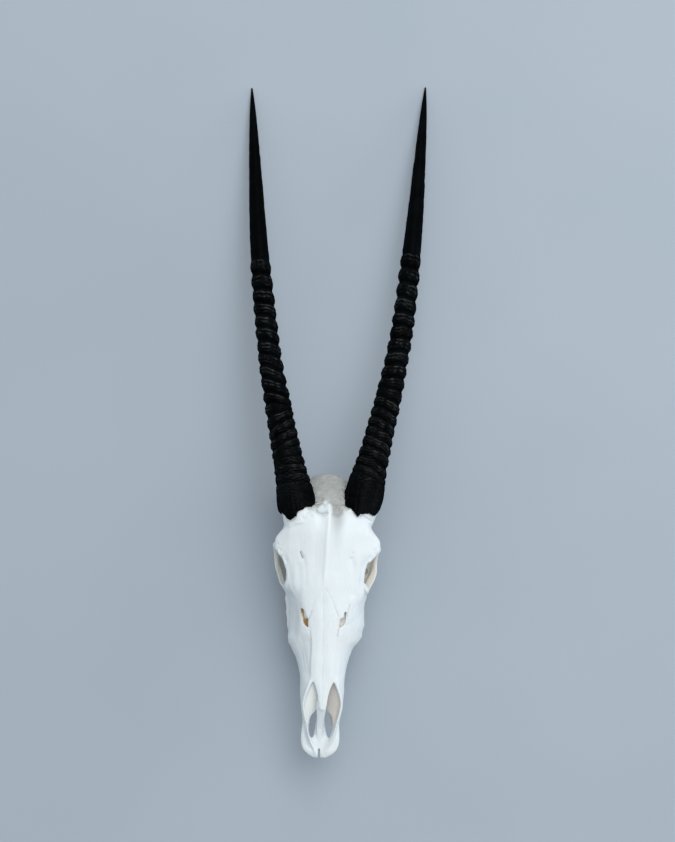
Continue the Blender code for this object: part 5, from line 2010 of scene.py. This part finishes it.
@dataclass
class Studio:
    """Backdrop, soft lights and the camera that looks down on the face.

    Each light has a name, a place, a size, a power, a colour and the point it is aimed at.
    """

    tilt: float = math.radians(4.0)
    yaw: float = math.radians(3.4)
    roll: float = math.radians(2.25)
    scale: float = 1.45
    distance: float = 2600.0
    look: tuple = (0.0, 487.0, 0.0)
    shift: tuple = (4.6, -1.5)
    rows: int = 842
    floor_size: float = 40.0
    floor_lines: int = 61
    ambient: float = 0.585
    ambient_colour: tuple = (0.96, 0.985, 1.0, 1.0)
    lights: tuple = (
        ("key_softbox", (0.6, 0.6, 3.1), 2.8, 50.0, (1.0, 0.995, 0.98), (0, 0, 0.05)),
        ("side_softbox", (2.7, -0.1, 0.8), 1.4, 13.0, (1.0, 0.995, 0.99), (0, -0.25, 0.08)),
        ("top_softbox", (0.2, 2.6, 2.4), 2.0, 14.0, (0.95, 0.98, 1.0), (0, 0.2, 0.05)),
    )

    def floor(self) -> bpy.types.Object:
        """Wide flat backdrop sheet, with finer faces near the skull."""
        line = np.linspace(-1, 1, self.floor_lines)
        line = np.sign(line) * np.abs(line) ** 2.2 * self.floor_size / 2
        points = [(x, y, 0.0) for y in line for x in line]
        corners = [row * self.floor_lines + column for row in range(self.floor_lines - 1)
                   for column in range(self.floor_lines - 1)]
        obj = mesh_object(points, [(corner, corner + 1, corner + self.floor_lines + 1,
                                    corner + self.floor_lines) for corner in corners])
        obj.name = obj.data.name = "backdrop"
        obj.data.materials.append(FloorFinish().build())
        return obj

    def light(self, name: str, place: tuple, size: float, power: float, colour: tuple, aim: tuple) -> None:
        """One soft square light aimed at the skull.

        Args:
            name: its name.
            place: where it stands.
            size: length of its edge.
            power: its power in watts.
            colour: red, green and blue.
            aim: the point it faces.
        """
        data = bpy.data.lights.new(name, "AREA")
        data.shape = "SQUARE"
        data.size = size
        data.energy = power
        data.color = colour
        obj = new_object(data, name)
        obj.location = place
        obj.rotation_euler = (Vector(aim) - Vector(place)).to_track_quat("-Z", "Y").to_euler()

    def surroundings(self) -> None:
        """Even light from all around."""
        world = bpy.data.worlds.new("studio")
        world.use_nodes = True
        back = world.node_tree.nodes["Background"]
        back.inputs["Color"].default_value = self.ambient_colour
        back.inputs["Strength"].default_value = self.ambient
        bpy.context.scene.world = world

    def camera(self) -> None:
        """Camera at the angle from which the face is seen."""
        toward = Vector((-math.sin(self.yaw) * math.cos(self.tilt), -math.sin(self.tilt),
                         math.cos(self.yaw) * math.cos(self.tilt)))
        level = Vector((0, 1, 0))
        level = (level - toward * level.dot(toward)).normalized()
        right = level.cross(toward)
        up = level * math.cos(self.roll) - right * math.sin(self.roll)
        side = right * math.cos(self.roll) + level * math.sin(self.roll)
        place = Vector(self.look) + toward * self.distance
        place += side * self.shift[0] * self.scale + up * self.shift[1] * self.scale
        data = bpy.data.cameras.new("front_camera")
        data.lens = 36.0 * (self.distance / self.scale) / self.rows
        data.clip_end = 50.0
        obj = new_object(data, "front_camera")
        turn = Matrix.Rotation(POSE.tilt, 3, "X") @ Matrix((side, up, toward)).transposed()
        obj.matrix_world = Matrix.Translation(POSE.matrix() @ place) @ turn.to_4x4()
        bpy.context.scene.camera = obj

    def build(self) -> None:
        """Sets up floor, lights, surroundings, camera and plain colour rendering."""
        self.floor()
        for light in self.lights:
            self.light(*light)
        self.surroundings()
        self.camera()
        settings = bpy.context.scene.view_settings
        settings.view_transform = "Standard"
        settings.look = "None"


@dataclass(frozen=True)
class Dressing:
    """One finished piece: what it stands for, its slot and its material."""

    piece: bpy.types.Object
    node: str
    slot: str
    material: bpy.types.Material

    def hand_over(self) -> None:
        self.piece.data.materials.clear()
        self.piece.data.materials.append(self.material)
        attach(self.piece, "root")
        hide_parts(self.node)
        LOG.info("%s: %d faces, stands for %s", self.piece.name, len(self.piece.data.polygons), self.node)


LEFT_HORN = Horn(
    Side.LEFT, 0.516, RingTable(
        (42.5, 57, 70, 86.5, 103, 118, 134, 149, 167.5, 181, 192.5, 214.5, 236, 260, 280.5, 304, 328,
         353.5, 379, 404),
        (33, 43.5, 55.5, 75.5, 92.5, 107, 123, 140.5, 157, 177, 199, 219, 240, 262.5, 283, 302.5, 326,
         350, 376.5, 404.5), weak_inner=(9,)),
    ((0, 2), (17, 0), (25, -5.3), (34, -8.8), (44, -11.8), (52, -10.8), (60, -12.7), (71, -17.1),
     (77, -20.7), (83, -21), (86, -16.7), (95, -16.1), (105, -13.6), (115, -11), (123, -11.9),
     (132, -12.2), (146, -9.3), (161, -4.4), (170, 2), (200, 4), (300, 3), (360, 2)),
    ((0, 0), (60, 0.5), (90, 1.6), (130, 1.1), (180, 0.9), (230, 1.4), (280, 2.0), (330, 1.2), (380, 0.4),
     (430, 0.1), (726, 0)), taper=1.5, seed=40)
RIGHT_HORN = Horn(
    Side.RIGHT, -1.286, RingTable(
        (42, 54.5, 70.5, 84, 99, 112, 127, 143, 158, 165, 172.5, 191, 211.5, 235.5, 257.5, 280.5, 300.5,
         322, 346, 372.5, 399.5),
        (45, 60, 73.5, 80, 89, 97, 112.5, 128, 147.5, 168, 187.5, 211.5, 232.5, 250.5, 268.5, 292, 310.5,
         331.5, 352, 375.5, 403), weak_inner=(9,), weak_outer=(3, 4)),
    ((0, 17), (14, 17.4), (29, 11.3), (44, 7.1), (52, 7.5), (59, 8.2), (66, 6.8), (76, 4.9), (89, 2.6),
     (96, 0.3), (97, -3.4), (105, -5.5), (116, -7.1), (127, -6.5), (137, -3), (144, 1.8), (150, 5),
     (162, 10), (185, 15), (215, 12), (300, 8), (345, 14), (360, 17)),
    ((0, 0), (60, 0), (90, 0.7), (130, 0.3), (180, -0.5), (230, 0.5), (280, 0), (330, -0.2), (380, 0),
     (726, 0)), taper=3.5, seed=70)


def main() -> None:
    """Builds bone, horns, teeth and studio in turn."""
    logging.basicConfig(level=logging.INFO, format="%(message)s")
    horns = (LEFT_HORN, RIGHT_HORN)
    Dressing(Cranium(horns=horns).build(), "cranium", "bone", BoneFinish().build()).hand_over()
    keratin = KeratinFinish().build()
    for horn in horns:
        Dressing(horn.build(), horn.side.name.lower() + "_horn", "keratin", keratin).hand_over()
    enamel = EnamelFinish().build()
    for node, tooth in CheekTeeth().build().items():
        Dressing(tooth, node, "tooth", enamel).hand_over()
    Studio().build()
    LOG.info("box of the plain parts %s", CAD_BOX)


if __name__ == "__main__":
    main()
